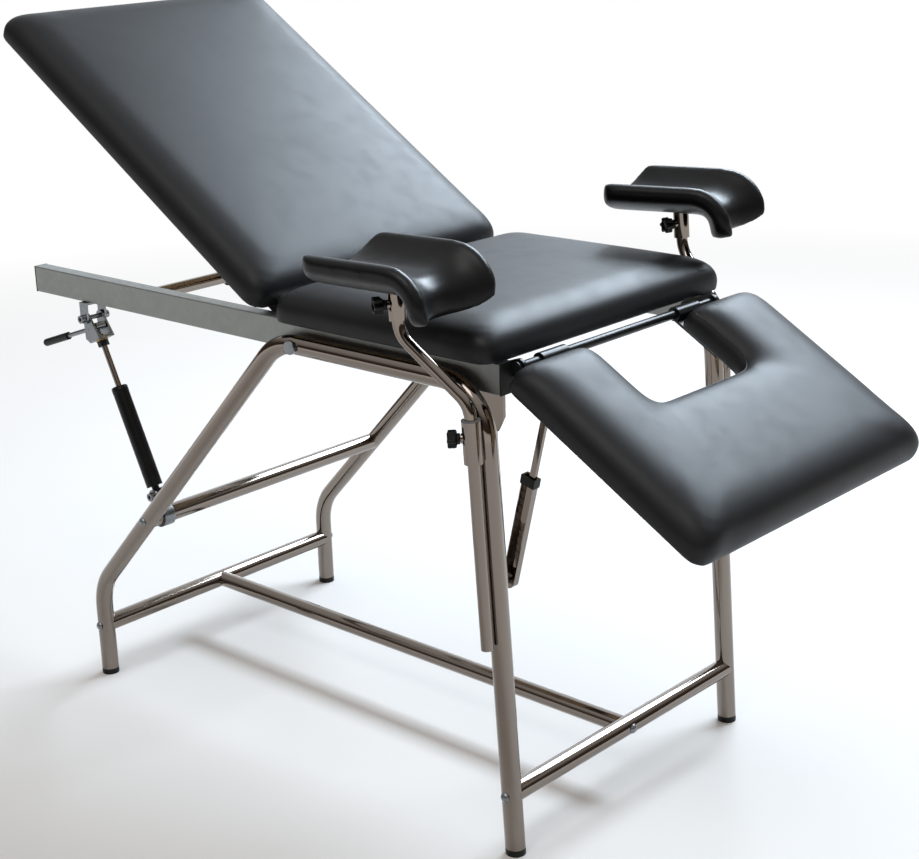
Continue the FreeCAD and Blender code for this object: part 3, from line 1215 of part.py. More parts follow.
def knob(angle, z, clamped_r):
    """Lobed knob with a stud that ends just short of the clamped surface."""
    stud = radial_bar(angle, z, clamped_r + STUD_ROOM, KNOB_START + KNOB_HUB_LENGTH, KNOB_STUD_D)
    hub = radial_bar(angle, z, KNOB_START, KNOB_START + KNOB_HUB_LENGTH, KNOB_HUB_D)
    face = KNOB_START + KNOB_HUB_LENGTH
    core = radial_bar(angle, z, face, face + KNOB_LENGTH, KNOB_CORE_D)
    out = Vector(-math.cos(math.radians(angle)), -math.sin(math.radians(angle)), 0)
    across = Z_AXIS.cross(out)
    lobes = []
    for index in range(KNOB_LOBES):
        turn = 2 * math.pi * index / KNOB_LOBES
        shift = across * (KNOB_CORE_D / 2 * math.cos(turn)) + Z_AXIS * (KNOB_CORE_D / 2 * math.sin(turn))
        lobes.append(radial_bar(angle, z, face, face + KNOB_LENGTH, KNOB_LOBE_D).translated(shift))
    return stud.fuse([hub, core] + lobes).removeSplitter()


def lower_knob(side):
    """Knob that clamps the rod in its socket."""
    liner_r = SOCKET_BORE / 2 - RUNNING_FIT
    return crutch_place(knob(-SIDES[side] * KNOB_LOW_TURN, KNOB_LOW, liner_r), side)


def upper_knob(side):
    """Knob that clamps the pad sleeve on the rod."""
    return pad_axis_place(knob(KNOB_HIGH_TURN, KNOB_HIGH, CRUTCH_ROD_D / 2), side)


def base_nodes():
    """Pieces of the standing frame."""
    tube = side_tube()
    nodes = {"left_side_tube": tube, "right_side_tube": mirrored(tube)}
    for name, (x, z) in CROSSBARS.items():
        bar = crossbar(x, z)
        if z == LOW_BAR_Z:
            bar = bar.cut(stretcher_hole())
        nodes[name] = bar
    nodes["centre_stretcher"] = centre_stretcher()
    nodes["foot_caps"] = foot_caps()
    nodes["frame_bolts"] = frame_bolts()
    nodes["tilt_pins"] = both_sides(tilt_pin())
    nodes["gas_lower_bracket"] = gas_lower_bracket()
    nodes["gas_lower_bolt"] = gas_lower_bolt()
    return nodes


def top_nodes():
    """Pieces of the tilting top frame and the seat."""
    left_rail = rail()
    return {
        "left_rail": left_rail,
        "right_rail": mirrored(left_rail),
        "rail_end_caps": rail_caps(),
        "rail_cross_tubes": cross_tubes(),
        "seat_board": seat_board(),
        "seat_cushion": seat_cushion(),
        "back_hinge_brackets": both_sides(back_hinge_bracket()),
        "back_prop_racks": both_sides(prop_rack()),
        "leg_hinge_brackets": both_sides(leg_hinge_bracket()),
        "leg_hinge_axle": leg_axle(),
        "leg_strut_hanger": strut_hanger(),
        "gas_upper_clevis": gas_upper_clevis(),
        "gas_upper_bolt": gas_upper_bolt(),
    }


def back_nodes():
    """Pieces of the backrest and its prop."""
    return {
        "back_board": raised(back_board_flat()),
        "back_cushion": raised(back_cushion_flat()),
        "back_hinge_arms": raised(both_sides(back_hinge_arm_flat())),
        "back_prop_bracket": raised(prop_bracket_flat()),
        "back_prop_pin": raised(prop_pin_flat()),
        "back_prop_arms": prop_arms(),
        "back_prop_foot_bar": prop_foot_bar(),
    }


def leg_nodes():
    """Pieces of the leg section and its toothed strut."""
    return {
        "leg_board": lowered(leg_board_flat()),
        "leg_cushion": lowered(leg_cushion_flat()),
        "leg_hinge_leaves": lowered(both_sides(leg_hinge_leaf_flat())),
        "leg_strut_lugs": lowered(strut_lugs_flat()),
        "leg_strut_channel": strut_channel(),
        "leg_strut_collar": strut_collar(),
        "leg_strut_bar": strut_bar(),
    }


def gas_nodes():
    """Pieces of the locking gas spring and its release."""
    return {
        "gas_cylinder": gas_cylinder(),
        "gas_rod": gas_rod(),
        "gas_valve_pin": valve_pin(),
        "rod_lock_nut": rod_lock_nut(),
        "rod_washer": rod_washer(),
        "release_head": release_head(),
        "release_lever": release_lever(),
        "lever_grip": lever_grip(),
    }


def crutch_nodes(side):
    """Pieces of one leg crutch."""
    return {
        side + "_crutch_socket": crutch_socket(side),
        side + "_crutch_liner": crutch_liner(side),
        side + "_crutch_rod": crutch_rod(side),
        side + "_crutch_knob": lower_knob(side),
        side + "_pad_sleeve": pad_sleeve(side),
        side + "_pad_knob": upper_knob(side),
        side + "_crutch_pad": crutch_pad(side),
    }


os.makedirs("parts", exist_ok=True)
groups = [base_nodes(), top_nodes(), back_nodes(), leg_nodes(), gas_nodes()]
groups += [crutch_nodes(side) for side in SIDES]
for group in groups:
    for node_name, node_shape in group.items():
        node_shape.exportStep("parts/" + node_name + ".step")
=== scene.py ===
import json
import math
import random

import bmesh
import bpy
from mathutils import Matrix, Vector
from mathutils.bvhtree import BVHTree

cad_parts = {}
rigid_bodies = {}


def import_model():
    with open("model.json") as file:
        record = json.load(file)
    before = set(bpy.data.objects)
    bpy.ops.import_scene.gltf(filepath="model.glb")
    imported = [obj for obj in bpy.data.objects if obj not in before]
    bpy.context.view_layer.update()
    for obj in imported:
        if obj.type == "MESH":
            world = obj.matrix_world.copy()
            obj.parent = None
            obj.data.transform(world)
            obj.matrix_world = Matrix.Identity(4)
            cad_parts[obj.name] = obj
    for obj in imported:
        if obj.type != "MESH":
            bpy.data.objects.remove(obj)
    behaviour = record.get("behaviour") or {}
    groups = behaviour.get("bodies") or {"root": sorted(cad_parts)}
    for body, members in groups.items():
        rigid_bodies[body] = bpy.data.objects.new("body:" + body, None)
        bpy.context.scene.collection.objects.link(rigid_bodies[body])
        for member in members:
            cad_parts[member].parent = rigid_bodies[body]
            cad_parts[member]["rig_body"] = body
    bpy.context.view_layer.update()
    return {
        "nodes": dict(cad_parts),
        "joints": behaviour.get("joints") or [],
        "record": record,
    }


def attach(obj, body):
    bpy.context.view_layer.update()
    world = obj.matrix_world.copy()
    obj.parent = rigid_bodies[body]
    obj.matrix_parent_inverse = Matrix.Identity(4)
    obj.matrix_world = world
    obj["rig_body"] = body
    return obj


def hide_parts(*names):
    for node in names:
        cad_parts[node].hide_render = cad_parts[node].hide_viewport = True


bl_info = {
    "name": "Examination table dress",
    "version": (1, 0, 0),
    "blender": (4, 5, 0),
    "location": "View3D > Sidebar > Table",
    "description": "Cushions, pads, knobs, fittings and finishes of a gynaecological examination table",
    "category": "Object",
}

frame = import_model()
NODES = frame["nodes"]
JOINTS = {joint["name"]: joint for joint in frame["joints"]}
NODE_SLOT = {row["node"]: row["material_slot"] for row in frame["record"]["subparts"]}
SIDES = ("left", "right")
IMAGE_WIDTH = 919
WINDOW = (-0.66, 0.69, 0.30)     # direction of the brightest part of the surroundings
FACING_DOWN = -0.6               # a normal's height below which a face counts as an underside

# Turned profiles as (radius, height) pairs, in metres
KNOB_HUB = ((0.0, -0.0008), (0.0040, -0.0008), (0.0040, -0.0042), (0.0074, -0.0044),
            (0.0078, -0.0036), (0.0078, 0.0008), (0.0, 0.0008))
CRIMP_ROLL = ((0.0056, -0.0005), (0.0056, 0.0012), (0.0096, 0.0012), (0.0114, 0.0018), (0.0128, 0.0008),
              (0.0142, -0.0022), (0.0143, -0.0095), (0.0136, -0.0108), (0.0136, -0.0120),
              (0.0056, -0.0120), (0.0056, -0.0005))


# Settings

class CushionSettings(bpy.types.PropertyGroup):
    """Sizes of the soft pieces."""
    voxel: bpy.props.FloatProperty(
        name="Cushion voxel", description="Mesh size of the cushions before they are blown up",
        default=0.006, unit="LENGTH")
    pad_voxel: bpy.props.FloatProperty(
        name="Pad voxel", description="Mesh size of the crutch pads before they are blown up",
        default=0.0032, unit="LENGTH")
    smoothing: bpy.props.IntProperty(
        name="Smoothing", description="Passes that relax a cushion's skin before and after it is blown up",
        default=7)
    pad_smoothing: bpy.props.IntProperty(
        name="Pad smoothing", description="Passes that round a pad's rims before and after it is blown up",
        default=11)
    sleeve_reach: bpy.props.FloatProperty(
        name="Sleeve reach", description="How far from its sleeve's middle a pad is held",
        default=0.04, unit="LENGTH")
    draw_in: bpy.props.FloatProperty(
        name="Draw in", description="How far a cushion's skin starts inside its solid",
        default=0.0005, unit="LENGTH")
    swell: bpy.props.FloatProperty(
        name="Swell", description="Farthest that a point of a cushion may move",
        default=0.0035, unit="LENGTH")
    pad_swell: bpy.props.FloatProperty(
        name="Pad swell", description="Farthest that a point of a crutch pad may move",
        default=0.003, unit="LENGTH")
    pressure: bpy.props.FloatProperty(
        name="Pressure", description="Air pressure of the cloth simulation", default=4.0)
    frames: bpy.props.IntProperty(
        name="Frames", description="Steps of the cloth simulation", default=20)
    underside: bpy.props.FloatProperty(
        name="Underside", description="Height of the flat, pinned part above the lowest point",
        default=0.0035, unit="LENGTH")


class KnobSettings(bpy.types.PropertyGroup):
    """Sizes of the clamp knobs."""
    lobes: bpy.props.IntProperty(name="Lobes", description="Number of finger lobes", default=6)
    radius: bpy.props.FloatProperty(
        name="Radius", description="Mean radius of the lobed rim", default=0.0112, unit="LENGTH")
    lobe_height: bpy.props.FloatProperty(
        name="Lobe height", description="How far a lobe stands out from the mean radius",
        default=0.0019, unit="LENGTH")
    thickness: bpy.props.FloatProperty(
        name="Thickness", description="Length of the lobed part along the stud",
        default=0.013, unit="LENGTH")
    rounding: bpy.props.FloatProperty(
        name="Rounding", description="Bevel of the lobed part's edges", default=0.0026, unit="LENGTH")
    dish: bpy.props.FloatVectorProperty(
        name="Dish", description="Rim width and depth of the hollow in the end face", size=2, unit="LENGTH",
        default=(0.0024, 0.0008))
    lift: bpy.props.FloatProperty(
        name="Lift", description="Knob above its joint's place", default=0.0006, unit="LENGTH")


class TrimSettings(bpy.types.PropertyGroup):
    """Sizes of the folded margins, staples, seam and crimp."""
    margin: bpy.props.FloatProperty(
        name="Margin", description="Width of the vinyl folded under a board", default=0.036, unit="LENGTH")
    overlap: bpy.props.FloatProperty(
        name="Overlap", description="How far the fold starts outside the board's edge",
        default=0.005, unit="LENGTH")
    corner: bpy.props.FloatProperty(
        name="Corner", description="Radius of the fold's outer corners", default=0.034, unit="LENGTH")
    skin: bpy.props.FloatProperty(
        name="Skin", description="Thickness of the folded vinyl", default=0.0004, unit="LENGTH")
    wave: bpy.props.FloatProperty(
        name="Wave", description="Unevenness of the fold's cut edge", default=0.0022, unit="LENGTH")
    staple_pitch: bpy.props.FloatProperty(
        name="Staple pitch", description="Distance between staples", default=0.034, unit="LENGTH")
    staple: bpy.props.FloatVectorProperty(
        name="Staple", description="Length, width and height of a staple's crown", unit="LENGTH",
        default=(0.0105, 0.0013, 0.0007))
    seam: bpy.props.FloatProperty(
        name="Seam", description="Radius of the sewn bead in the cut-out", default=0.0008, unit="LENGTH")
    seam_height: bpy.props.FloatProperty(
        name="Seam height", description="Bead above the leg panel's underside", default=0.037, unit="LENGTH")
    seam_corner: bpy.props.FloatProperty(
        name="Seam corner", description="Radius of the bead's line in the cut-out's corners",
        default=0.026, unit="LENGTH")
    seam_inset: bpy.props.FloatProperty(
        name="Seam inset", description="Bead's line back from the cut-out's wall",
        default=0.004, unit="LENGTH")
    seam_step: bpy.props.FloatProperty(
        name="Seam step", description="Distance between points of the bead's line",
        default=0.006, unit="LENGTH")


class FinishSettings(bpy.types.PropertyGroup):
    """Colours of the finishes."""
    vinyl: bpy.props.FloatVectorProperty(
        name="Vinyl", description="Upholstery colour", subtype="COLOR", default=(0.003, 0.0034, 0.0046))
    foam: bpy.props.FloatVectorProperty(
        name="Pad foam", description="Crutch pad colour", subtype="COLOR", default=(0.003, 0.003, 0.0033))
    # Chrome colour is darkened and browned: a painted reflection of a brown room, not the tubes' own colour.
    chrome: bpy.props.FloatVectorProperty(
        name="Chrome", description="Frame tube colour", subtype="COLOR", default=(0.24, 0.205, 0.178))
    rail: bpy.props.FloatVectorProperty(
        name="Rail", description="Rail colour", subtype="COLOR", default=(0.285, 0.295, 0.285))
    zinc: bpy.props.FloatVectorProperty(
        name="Zinc", description="Fittings colour", subtype="COLOR", default=(0.2, 0.212, 0.22))
    brass: bpy.props.FloatVectorProperty(
        name="Brass", description="Washer colour", subtype="COLOR", default=(0.72, 0.53, 0.26))
    plywood: bpy.props.FloatVectorProperty(
        name="Plywood", description="Board colour", subtype="COLOR", default=(0.56, 0.40, 0.24))


class StageSettings(bpy.types.PropertyGroup):
    """Camera, floor and light."""
    camera_place: bpy.props.FloatVectorProperty(
        name="Camera place", description="Camera position", subtype="TRANSLATION", unit="LENGTH",
        default=(1.8877, -1.9863, 1.3788))
    azimuth: bpy.props.FloatProperty(
        name="Azimuth", description="Camera direction round the table, in degrees", default=43.78)
    elevation: bpy.props.FloatProperty(
        name="Elevation", description="Camera direction above the horizon, in degrees", default=17.34)
    roll: bpy.props.FloatProperty(
        name="Roll", description="Camera turn about its own axis, in degrees", default=-2.12)
    focal_pixels: bpy.props.FloatProperty(
        name="Focal length", description="Focal length in image pixels", default=1772.3)
    shift: bpy.props.FloatVectorProperty(
        name="Shift", description="Lens shift", size=2, default=(0.0367, -0.0141))
    floor: bpy.props.FloatVectorProperty(
        name="Floor", description="Floor colour", subtype="COLOR", default=(0.7, 0.68, 0.66))
    key_power: bpy.props.FloatProperty(
        name="Key light", description="Power of the large side light", default=190.0, unit="POWER")
    fill_power: bpy.props.FloatProperty(
        name="Fill light", description="Power of the overhead light", default=24.0, unit="POWER")


# Shader helpers

class Wire:
    """A shader socket that takes part in plain arithmetic."""

    def __init__(self, finish, socket):
        self.finish = finish
        self.socket = socket

    def math(self, operation, first, second=0.0):
        return self.finish.node("ShaderNodeMath", {"operation": operation}, {0: first, 1: second})

    def __add__(self, other):
        return self.math("ADD", self, other)

    __radd__ = __add__

    def __sub__(self, other):
        return self.math("SUBTRACT", self, other)

    def __rsub__(self, other):
        return self.math("SUBTRACT", other, self)

    def __mul__(self, other):
        return self.math("MULTIPLY", self, other)

    __rmul__ = __mul__

    def above(self, limit):
        """1 where the value is over a limit, 0 elsewhere."""
        return self.math("GREATER_THAN", self, limit)


class Finish:
    """One node material in the making."""

    def __init__(self, name, tree=None):
        self.material = None
        if tree is None:
            self.material = bpy.data.materials.get(name) or bpy.data.materials.new(name)
            self.material.use_nodes = True
            tree = self.material.node_tree
        self.tree = tree
        self.tree.nodes.clear()

    def node(self, kind, settings, inputs, output=0):
        """Adds a node with its settings and the values or links of its sockets."""
        made = self.tree.nodes.new(kind)
        for key, value in settings.items():
            if key == "stops":
                self.set_stops(made.color_ramp, value)
            else:
                setattr(made, key, value)
        for key, value in inputs.items():
            if isinstance(value, Wire):
                self.tree.links.new(value.socket, made.inputs[key])
            else:
                made.inputs[key].default_value = value
        return Wire(self, made.outputs[output]) if made.outputs else None

    def set_stops(self, ramp, stops):
        """Sets a colour ramp from (position, grey) pairs."""
        while len(ramp.elements) < len(stops):
            ramp.elements.new(0.5)
        for element, (position, grey) in zip(ramp.elements, stops):
            element.position = position
            element.color = (grey, grey, grey, 1.0)

    def light_path(self, ray):
        """1 where the ray is of a kind, else 0."""
        return self.node("ShaderNodeLightPath", {}, {}, ray)

    def coords(self, scale=(1.0, 1.0, 1.0)):
        """Object coordinates, stretched by a scale."""
        place = self.node("ShaderNodeTexCoord", {}, {}, "Object")
        return self.node("ShaderNodeMapping", {}, {"Vector": place, "Scale": scale})

    def noise(self, scale, detail=3.0, roughness=0.5, stretch=(1.0, 1.0, 1.0)):
        """Soft noise value; scale is per metre."""
        return self.node("ShaderNodeTexNoise", {}, {
            "Vector": self.coords(stretch), "Scale": scale, "Detail": detail, "Roughness": roughness})

    def cells(self, scale):
        """Distance inside small cells; scale is per metre."""
        return self.node("ShaderNodeTexVoronoi", {}, {"Vector": self.coords(), "Scale": scale}, "Distance")

    def ramp(self, value, stops):
        """Grey ramp of a value."""
        return self.node("ShaderNodeValToRGB", {"stops": stops}, {0: value})

    def mix(self, factor, first, second):
        """Colour between two colours."""
        inputs = {"Factor": factor, 6: first, 7: second}
        return self.node("ShaderNodeMix", {"data_type": "RGBA"}, inputs, 2)

    def bump(self, height, distance, strength=1.0):
        """Surface relief from a height value; distance is in metres."""
        relief = {"Height": height, "Distance": distance, "Strength": strength}
        return self.node("ShaderNodeBump", {}, relief)

    def surface(self, values):
        """Closes the material with a principled shader."""
        shader = self.node("ShaderNodeBsdfPrincipled", {}, values)
        self.node("ShaderNodeOutputMaterial", {}, {"Surface": shader})
        return self.material


def shade(colour, factor):
    """A colour made darker or lighter, with full alpha."""
    return (colour[0] * factor, colour[1] * factor, colour[2] * factor, 1.0)


# Finishes

def vinyl_finish(colour):
    """Coated upholstery cloth: fine leather grain, soft sheen, faint handling marks."""
    make = Finish("black_vinyl")
    grain = make.cells(900.0) * 0.6 + make.noise(2200.0, 2.0) * 0.4
    pull = make.noise(9.0, 2.0, 0.4)
    marks = make.ramp(make.noise(26.0, 4.0, 0.6), ((0.45, 0.0), (0.75, 1.0)))
    return make.surface({
        "Base Color": make.mix(marks, shade(colour, 0.9), shade(colour, 1.5)),
        "Roughness": 0.43 + marks * 0.05 + grain * 0.06 + pull * 0.03,
        "Specular IOR Level": 0.33,
        "Normal": make.bump(grain + pull * 6.0, 0.00012, 0.5),
    })


def foam_finish(colour):
    """Self-skinning foam: pebbled grain with a waxy gloss."""
    make = Finish("moulded_foam")
    pebble = make.cells(620.0)
    fine = make.noise(1500.0, 3.0)
    worn = make.ramp(make.noise(34.0, 4.0, 0.6), ((0.5, 0.0), (0.8, 1.0)))
    return make.surface({
        "Base Color": make.mix(worn, shade(colour, 1.0), shade(colour, 1.9)),
        "Roughness": 0.31 + fine * 0.10 - worn * 0.04,
        "Specular IOR Level": 0.25,
        "Normal": make.bump(pebble * 0.7 + fine * 0.3, 0.00022, 0.6),
    })


def reflection_tinted_chrome_finish(colour):
    """Bright chrome on drawn tube: faint haze, wipe marks and tiny pits. Its base colour is darkened and
    browned, a painted reflection of a brown room.
    """
    make = Finish("chrome_tube")
    haze = make.noise(7.0, 4.0, 0.6)
    wipe = make.noise(60.0, 3.0, 0.6, (1.0, 1.0, 0.12))
    pits = make.ramp(make.cells(420.0), ((0.0, 1.0), (0.07, 0.0)))
    rare = make.noise(18.0, 2.0).above(0.62)
    pit_mask = pits * rare
    return make.surface({
        # Base colour carries the painted brown reflection from the chrome setting; the pits are real.
        "Base Color": make.mix(pit_mask * 0.6, shade(colour, 1.0), shade(colour, 0.5)),
        "Metallic": 1.0,
        "Roughness": 0.045 + haze * 0.06 + wipe * 0.04 + pit_mask * 0.3,
        "Normal": make.bump(wipe + haze * 2.0, 0.00004, 0.35),
    })


def rail_finish(colour):
    """Satin rolled steel: lengthwise draw lines and cloudy patches."""
    make = Finish("rail_steel")
    lines = make.noise(900.0, 3.0, 0.6, (0.012, 1.0, 1.0))
    cloud = make.noise(24.0, 5.0, 0.62)
    spangle = make.cells(110.0)
    return make.surface({
        "Base Color": make.mix(cloud, shade(colour, 0.80), shade(colour, 1.22)),
        "Metallic": 1.0,
        "Roughness": 0.30 + cloud * 0.16 + spangle * 0.10 + lines * 0.06,
        "Normal": make.bump(lines + cloud * 0.5, 0.00006, 0.5),
    })


def zinc_finish(colour):
    """Bright zinc plate with a bluish bloom."""
    make = Finish("zinc_steel")
    bloom = make.noise(55.0, 4.0, 0.6)
    fine = make.noise(900.0, 2.0)
    return make.surface({
        "Base Color": make.mix(bloom, shade(colour, 0.82), shade(colour, 1.6)),
        "Metallic": 1.0,
        "Roughness": 0.20 + bloom * 0.18 + fine * 0.06,
        "Normal": make.bump(fine + bloom, 0.00005, 0.5),
    })


def brass_finish(colour):
    """Yellow passivated washer."""
    make = Finish("brass_washer")
    stain = make.noise(160.0, 4.0, 0.6)
    return make.surface({
        "Base Color": make.mix(stain, shade(colour, 0.75), shade(colour, 1.15)),
        "Metallic": 1.0,
        "Roughness": 0.22 + stain * 0.2,
    })


def paint_finish(name, grey, gloss):
    """Black paint with a slight orange peel and rubbed spots."""
    make = Finish(name)
    colour = (grey, grey, grey * 1.05)
    rubbed = (grey, grey, grey)
    peel = make.noise(260.0, 2.0, 0.4)
    rub = make.ramp(make.noise(30.0, 5.0, 0.65), ((0.55, 0.0), (0.85, 1.0)))
    return make.surface({
        "Base Color": make.mix(rub, shade(colour, 1.0), shade(rubbed, 2.4)),
        "Roughness": gloss + rub * 0.15 + peel * 0.05,
        "Specular IOR Level": 0.2,
        "Normal": make.bump(peel, 0.00008, 0.5),
    })


def plastic_finish(name, grey, roughness):
    """Moulded plastic with a spark-eroded texture."""
    make = Finish(name)
    deep = (grey * 0.85, grey * 0.85, grey * 0.88)
    pale = (grey, grey, grey)
    texture = make.noise(1300.0, 3.0, 0.6)
    flow = make.noise(40.0, 3.0)
    return make.surface({
        "Base Color": make.mix(flow, shade(deep, 1.0), shade(pale, 1.3)),
        "Roughness": roughness + texture * 0.12 + flow * 0.05,
        "Specular IOR Level": 0.22,
        "Normal": make.bump(texture, 0.0001, 0.5),
    })


def plywood_finish(colour):
    """Sanded plywood: long grain, darker veins and small pores."""
    make = Finish("plywood")
    grain = make.noise(60.0, 5.0, 0.65, (0.06, 1.0, 1.0))
    veins = make.node("ShaderNodeTexWave", {"wave_type": "BANDS", "bands_direction": "Y"}, {
        "Vector": make.coords((0.12, 1.0, 1.0)), "Scale": 14.0, "Distortion": 7.0, "Detail": 3.0}, 1)
    pores = make.ramp(make.noise(1200.0, 2.0, 0.5, (0.1, 1.0, 1.0)), ((0.62, 0.0), (0.72, 1.0)))
    wood = make.mix(grain * 0.7 + veins * 0.14, shade(colour, 0.72), shade(colour, 1.25))
    return make.surface({
        "Base Color": make.mix(pores * 0.6, wood, shade(colour, 0.35)),
        "Roughness": 0.58 + grain * 0.15,
        "Normal": make.bump(grain - pores, 0.00015, 0.6),
    })


def make_finishes(colours):
    """All finishes, keyed by the record's material slots."""
    return {
        "black_vinyl": vinyl_finish(colours.vinyl),
        "moulded_foam": foam_finish(colours.foam),
        "chrome_tube": reflection_tinted_chrome_finish(colours.chrome),
        "rail_steel": rail_finish(colours.rail),
        "zinc_steel": zinc_finish(colours.zinc),
        "brass_washer": brass_finish(colours.brass),
        "black_steel": paint_finish("black_steel", 0.006, 0.26),
        "black_plastic": plastic_finish("black_plastic", 0.008, 0.32),
        "nylon": plastic_finish("nylon", 0.16, 0.42),
        "plywood": plywood_finish(colours.plywood),
    }


def finish_for(slot):
    """The finished material of a slot."""
    return bpy.data.materials[slot]


# Mesh helpers

def new_piece(name, mesh, body, slot):
    """Links a mesh as a piece that rides on a body with a slot's finish."""
    mesh.name = name
    piece = bpy.data.objects.new(name, mesh)
    bpy.context.scene.collection.objects.link(piece)
    mesh.materials.clear()
    mesh.materials.append(finish_for(slot))
    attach(piece, body)
    return piece


def mesh_from(bm, name):
    """Turns a bmesh into a smooth-shaded mesh with outward faces."""
    bmesh.ops.recalc_face_normals(bm, faces=bm.faces[:])
    mesh = bpy.data.meshes.new(name)
    bm.to_mesh(mesh)
    bm.free()
    mesh.shade_smooth()
    return mesh


def evaluated_mesh(piece):
    """A piece's mesh with its modifiers applied."""
    graph = bpy.context.evaluated_depsgraph_get()
    return bpy.data.meshes.new_from_object(piece.evaluated_get(graph))


def flat_pose(joint_name):
    """Move that lays a hinged panel flat: a turn about its hinge to the range's low end."""
    joint = JOINTS[joint_name]
    hinge = Vector(joint["pos_m"])
    turn = Matrix.Rotation(math.radians(joint["range_deg"][0]), 4, Vector(joint["axis"]))
    return Matrix.Translation(hinge) @ turn @ Matrix.Translation(-hinge)


def remeshed(node, lay_flat, voxel):
    """Even quad copy of a CAD node, made while it lies flat."""
    bm = bmesh.new()
    bm.from_mesh(NODES[node].data)
    bmesh.ops.remove_doubles(bm, verts=bm.verts[:], dist=1e-6)
    bmesh.ops.transform(bm, matrix=lay_flat, verts=bm.verts[:])
    mesh = mesh_from(bm, node + "_flat")
    piece = bpy.data.objects.new(node + "_work", mesh)
    bpy.context.scene.collection.objects.link(piece)
    modifier = piece.modifiers.new("Voxel", "REMESH")
    modifier.mode = "VOXEL"
    modifier.voxel_size = voxel
    piece_mesh = evaluated_mesh(piece)
    piece.modifiers.clear()
    piece.data = piece_mesh
    return piece


def smooth_free(mesh, pinned, passes):
    """Relaxes the vertices that aren't pinned."""
    bm = bmesh.new()
    bm.from_mesh(mesh)
    bm.verts.ensure_lookup_table()
    free = [vert for vert in bm.verts if vert.index not in pinned]
    for _ in range(passes):
        bmesh.ops.smooth_vert(bm, verts=free, factor=0.5, use_axis_x=True, use_axis_y=True, use_axis_z=True)
    bm.to_mesh(mesh)
    bm.free()


def blow_up(work, pinned, pressure, frames, swell):
    """Cloth simulation under air pressure, scaled so that no point moves by more than the swell."""
    scene = bpy.context.scene
    group = work.vertex_groups.new(name="pins")
    group.add(sorted(pinned), 1.0, "REPLACE")
    start = [vert.co.copy() for vert in work.data.vertices]
    cloth = work.modifiers.new("Cloth", "CLOTH")
    cloth.settings.quality = 5
    cloth.settings.vertex_group_mass = group.name
    cloth.settings.use_pressure = True
    cloth.settings.uniform_pressure_force = pressure
    cloth.settings.effector_weights.gravity = 0.0
    cloth.collision_settings.use_collision = False
    cloth.point_cache.frame_start = 1
    cloth.point_cache.frame_end = frames
    for number in range(1, frames + 1):
        scene.frame_set(number)
    blown = evaluated_mesh(work)
    work.modifiers.clear()
    work.vertex_groups.clear()
    steps = [moved.co - origin for origin, moved in zip(start, blown.vertices)]
    share = min(1.0, swell / max(step.length for step in steps))
    for vert, origin, step in zip(work.data.vertices, start, steps):
        vert.co = origin + step * share
    scene.frame_set(1)


def draw_in(mesh, pinned, low, distance, fade):
    """Moves the skin inward, by less near the pinned underside."""
    normals = [vert.normal.copy() for vert in mesh.vertices]
    for vert, normal in zip(mesh.vertices, normals):
        if vert.index not in pinned:
            share = min(1.0, (vert.co.z - low) / fade)
            vert.co -= normal * (distance * share)


def held_by_board(depth):
    """Rule for a cushion's held vertices: its lowest layer and whatever faces down."""
    return lambda vert, low: vert.co.z < low + depth or vert.normal.z < FACING_DOWN


def held_by_sleeve(node, reach):
    """Rule for a pad's held vertices: those near the sleeve's middle."""
    corners = [Vector(corner) for corner in NODES[node].bound_box]
    middle = sum(corners, Vector()) / len(corners)
    return lambda vert, low: (vert.co - middle).length < reach


def soft_piece(node, name, lay_flat, held, voxel, passes, distance, swell, settings):
    """Padded piece blown up from its CAD solid, finished and set back in its rest pose."""
    work = remeshed(node, lay_flat, voxel)
    mesh = work.data
    low = min(vert.co.z for vert in mesh.vertices)
    pinned = {vert.index for vert in mesh.vertices if held(vert, low)}
    draw_in(mesh, pinned, low, distance, 2.5 * voxel)
    smooth_free(mesh, pinned, passes)
    blow_up(work, pinned, settings.pressure, settings.frames, swell)
    smooth_free(mesh, pinned, passes)
    mesh.transform(lay_flat.inverted())
    mesh.shade_smooth()
    body = NODES[node]["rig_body"]
    bpy.data.objects.remove(work)
    piece = new_piece(name, mesh, body, NODE_SLOT[node])
    rounding = piece.modifiers.new("Rounding", "SUBSURF")
    rounding.levels = 1
    rounding.render_levels = 1
    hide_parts(node)
    return piece


# Clamp knobs

def star_knob(settings):
    """Lobed knob about +Z, its hub face at the origin."""
    bm = bmesh.new()
    disc = bmesh.ops.create_circle(bm, cap_ends=True, segments=settings.lobes * 10, radius=settings.radius)
    for vert in disc["verts"]:
        angle = math.atan2(vert.co.y, vert.co.x)
        reach = settings.radius + settings.lobe_height * math.cos(settings.lobes * angle)
        vert.co = Vector((reach * math.cos(angle), reach * math.sin(angle), 0.0))
    lift = bmesh.ops.extrude_face_region(bm, geom=bm.faces[:])["geom"]
    top_verts = [item for item in lift if isinstance(item, bmesh.types.BMVert)]
    bmesh.ops.translate(bm, vec=(0.0, 0.0, settings.thickness), verts=top_verts)
    edges = [edge for edge in bm.edges if abs(edge.verts[0].co.z - edge.verts[1].co.z) < 1e-7]
    bmesh.ops.bevel(bm, geom=edges, offset=settings.rounding, offset_type="OFFSET", segments=4, profile=0.5,
                    affect="EDGES", material=-1)
    top = max(bm.faces, key=lambda face: face.calc_center_median().z)
    bmesh.ops.inset_region(bm, faces=[top], thickness=settings.dish[0], depth=-settings.dish[1])
    return bm


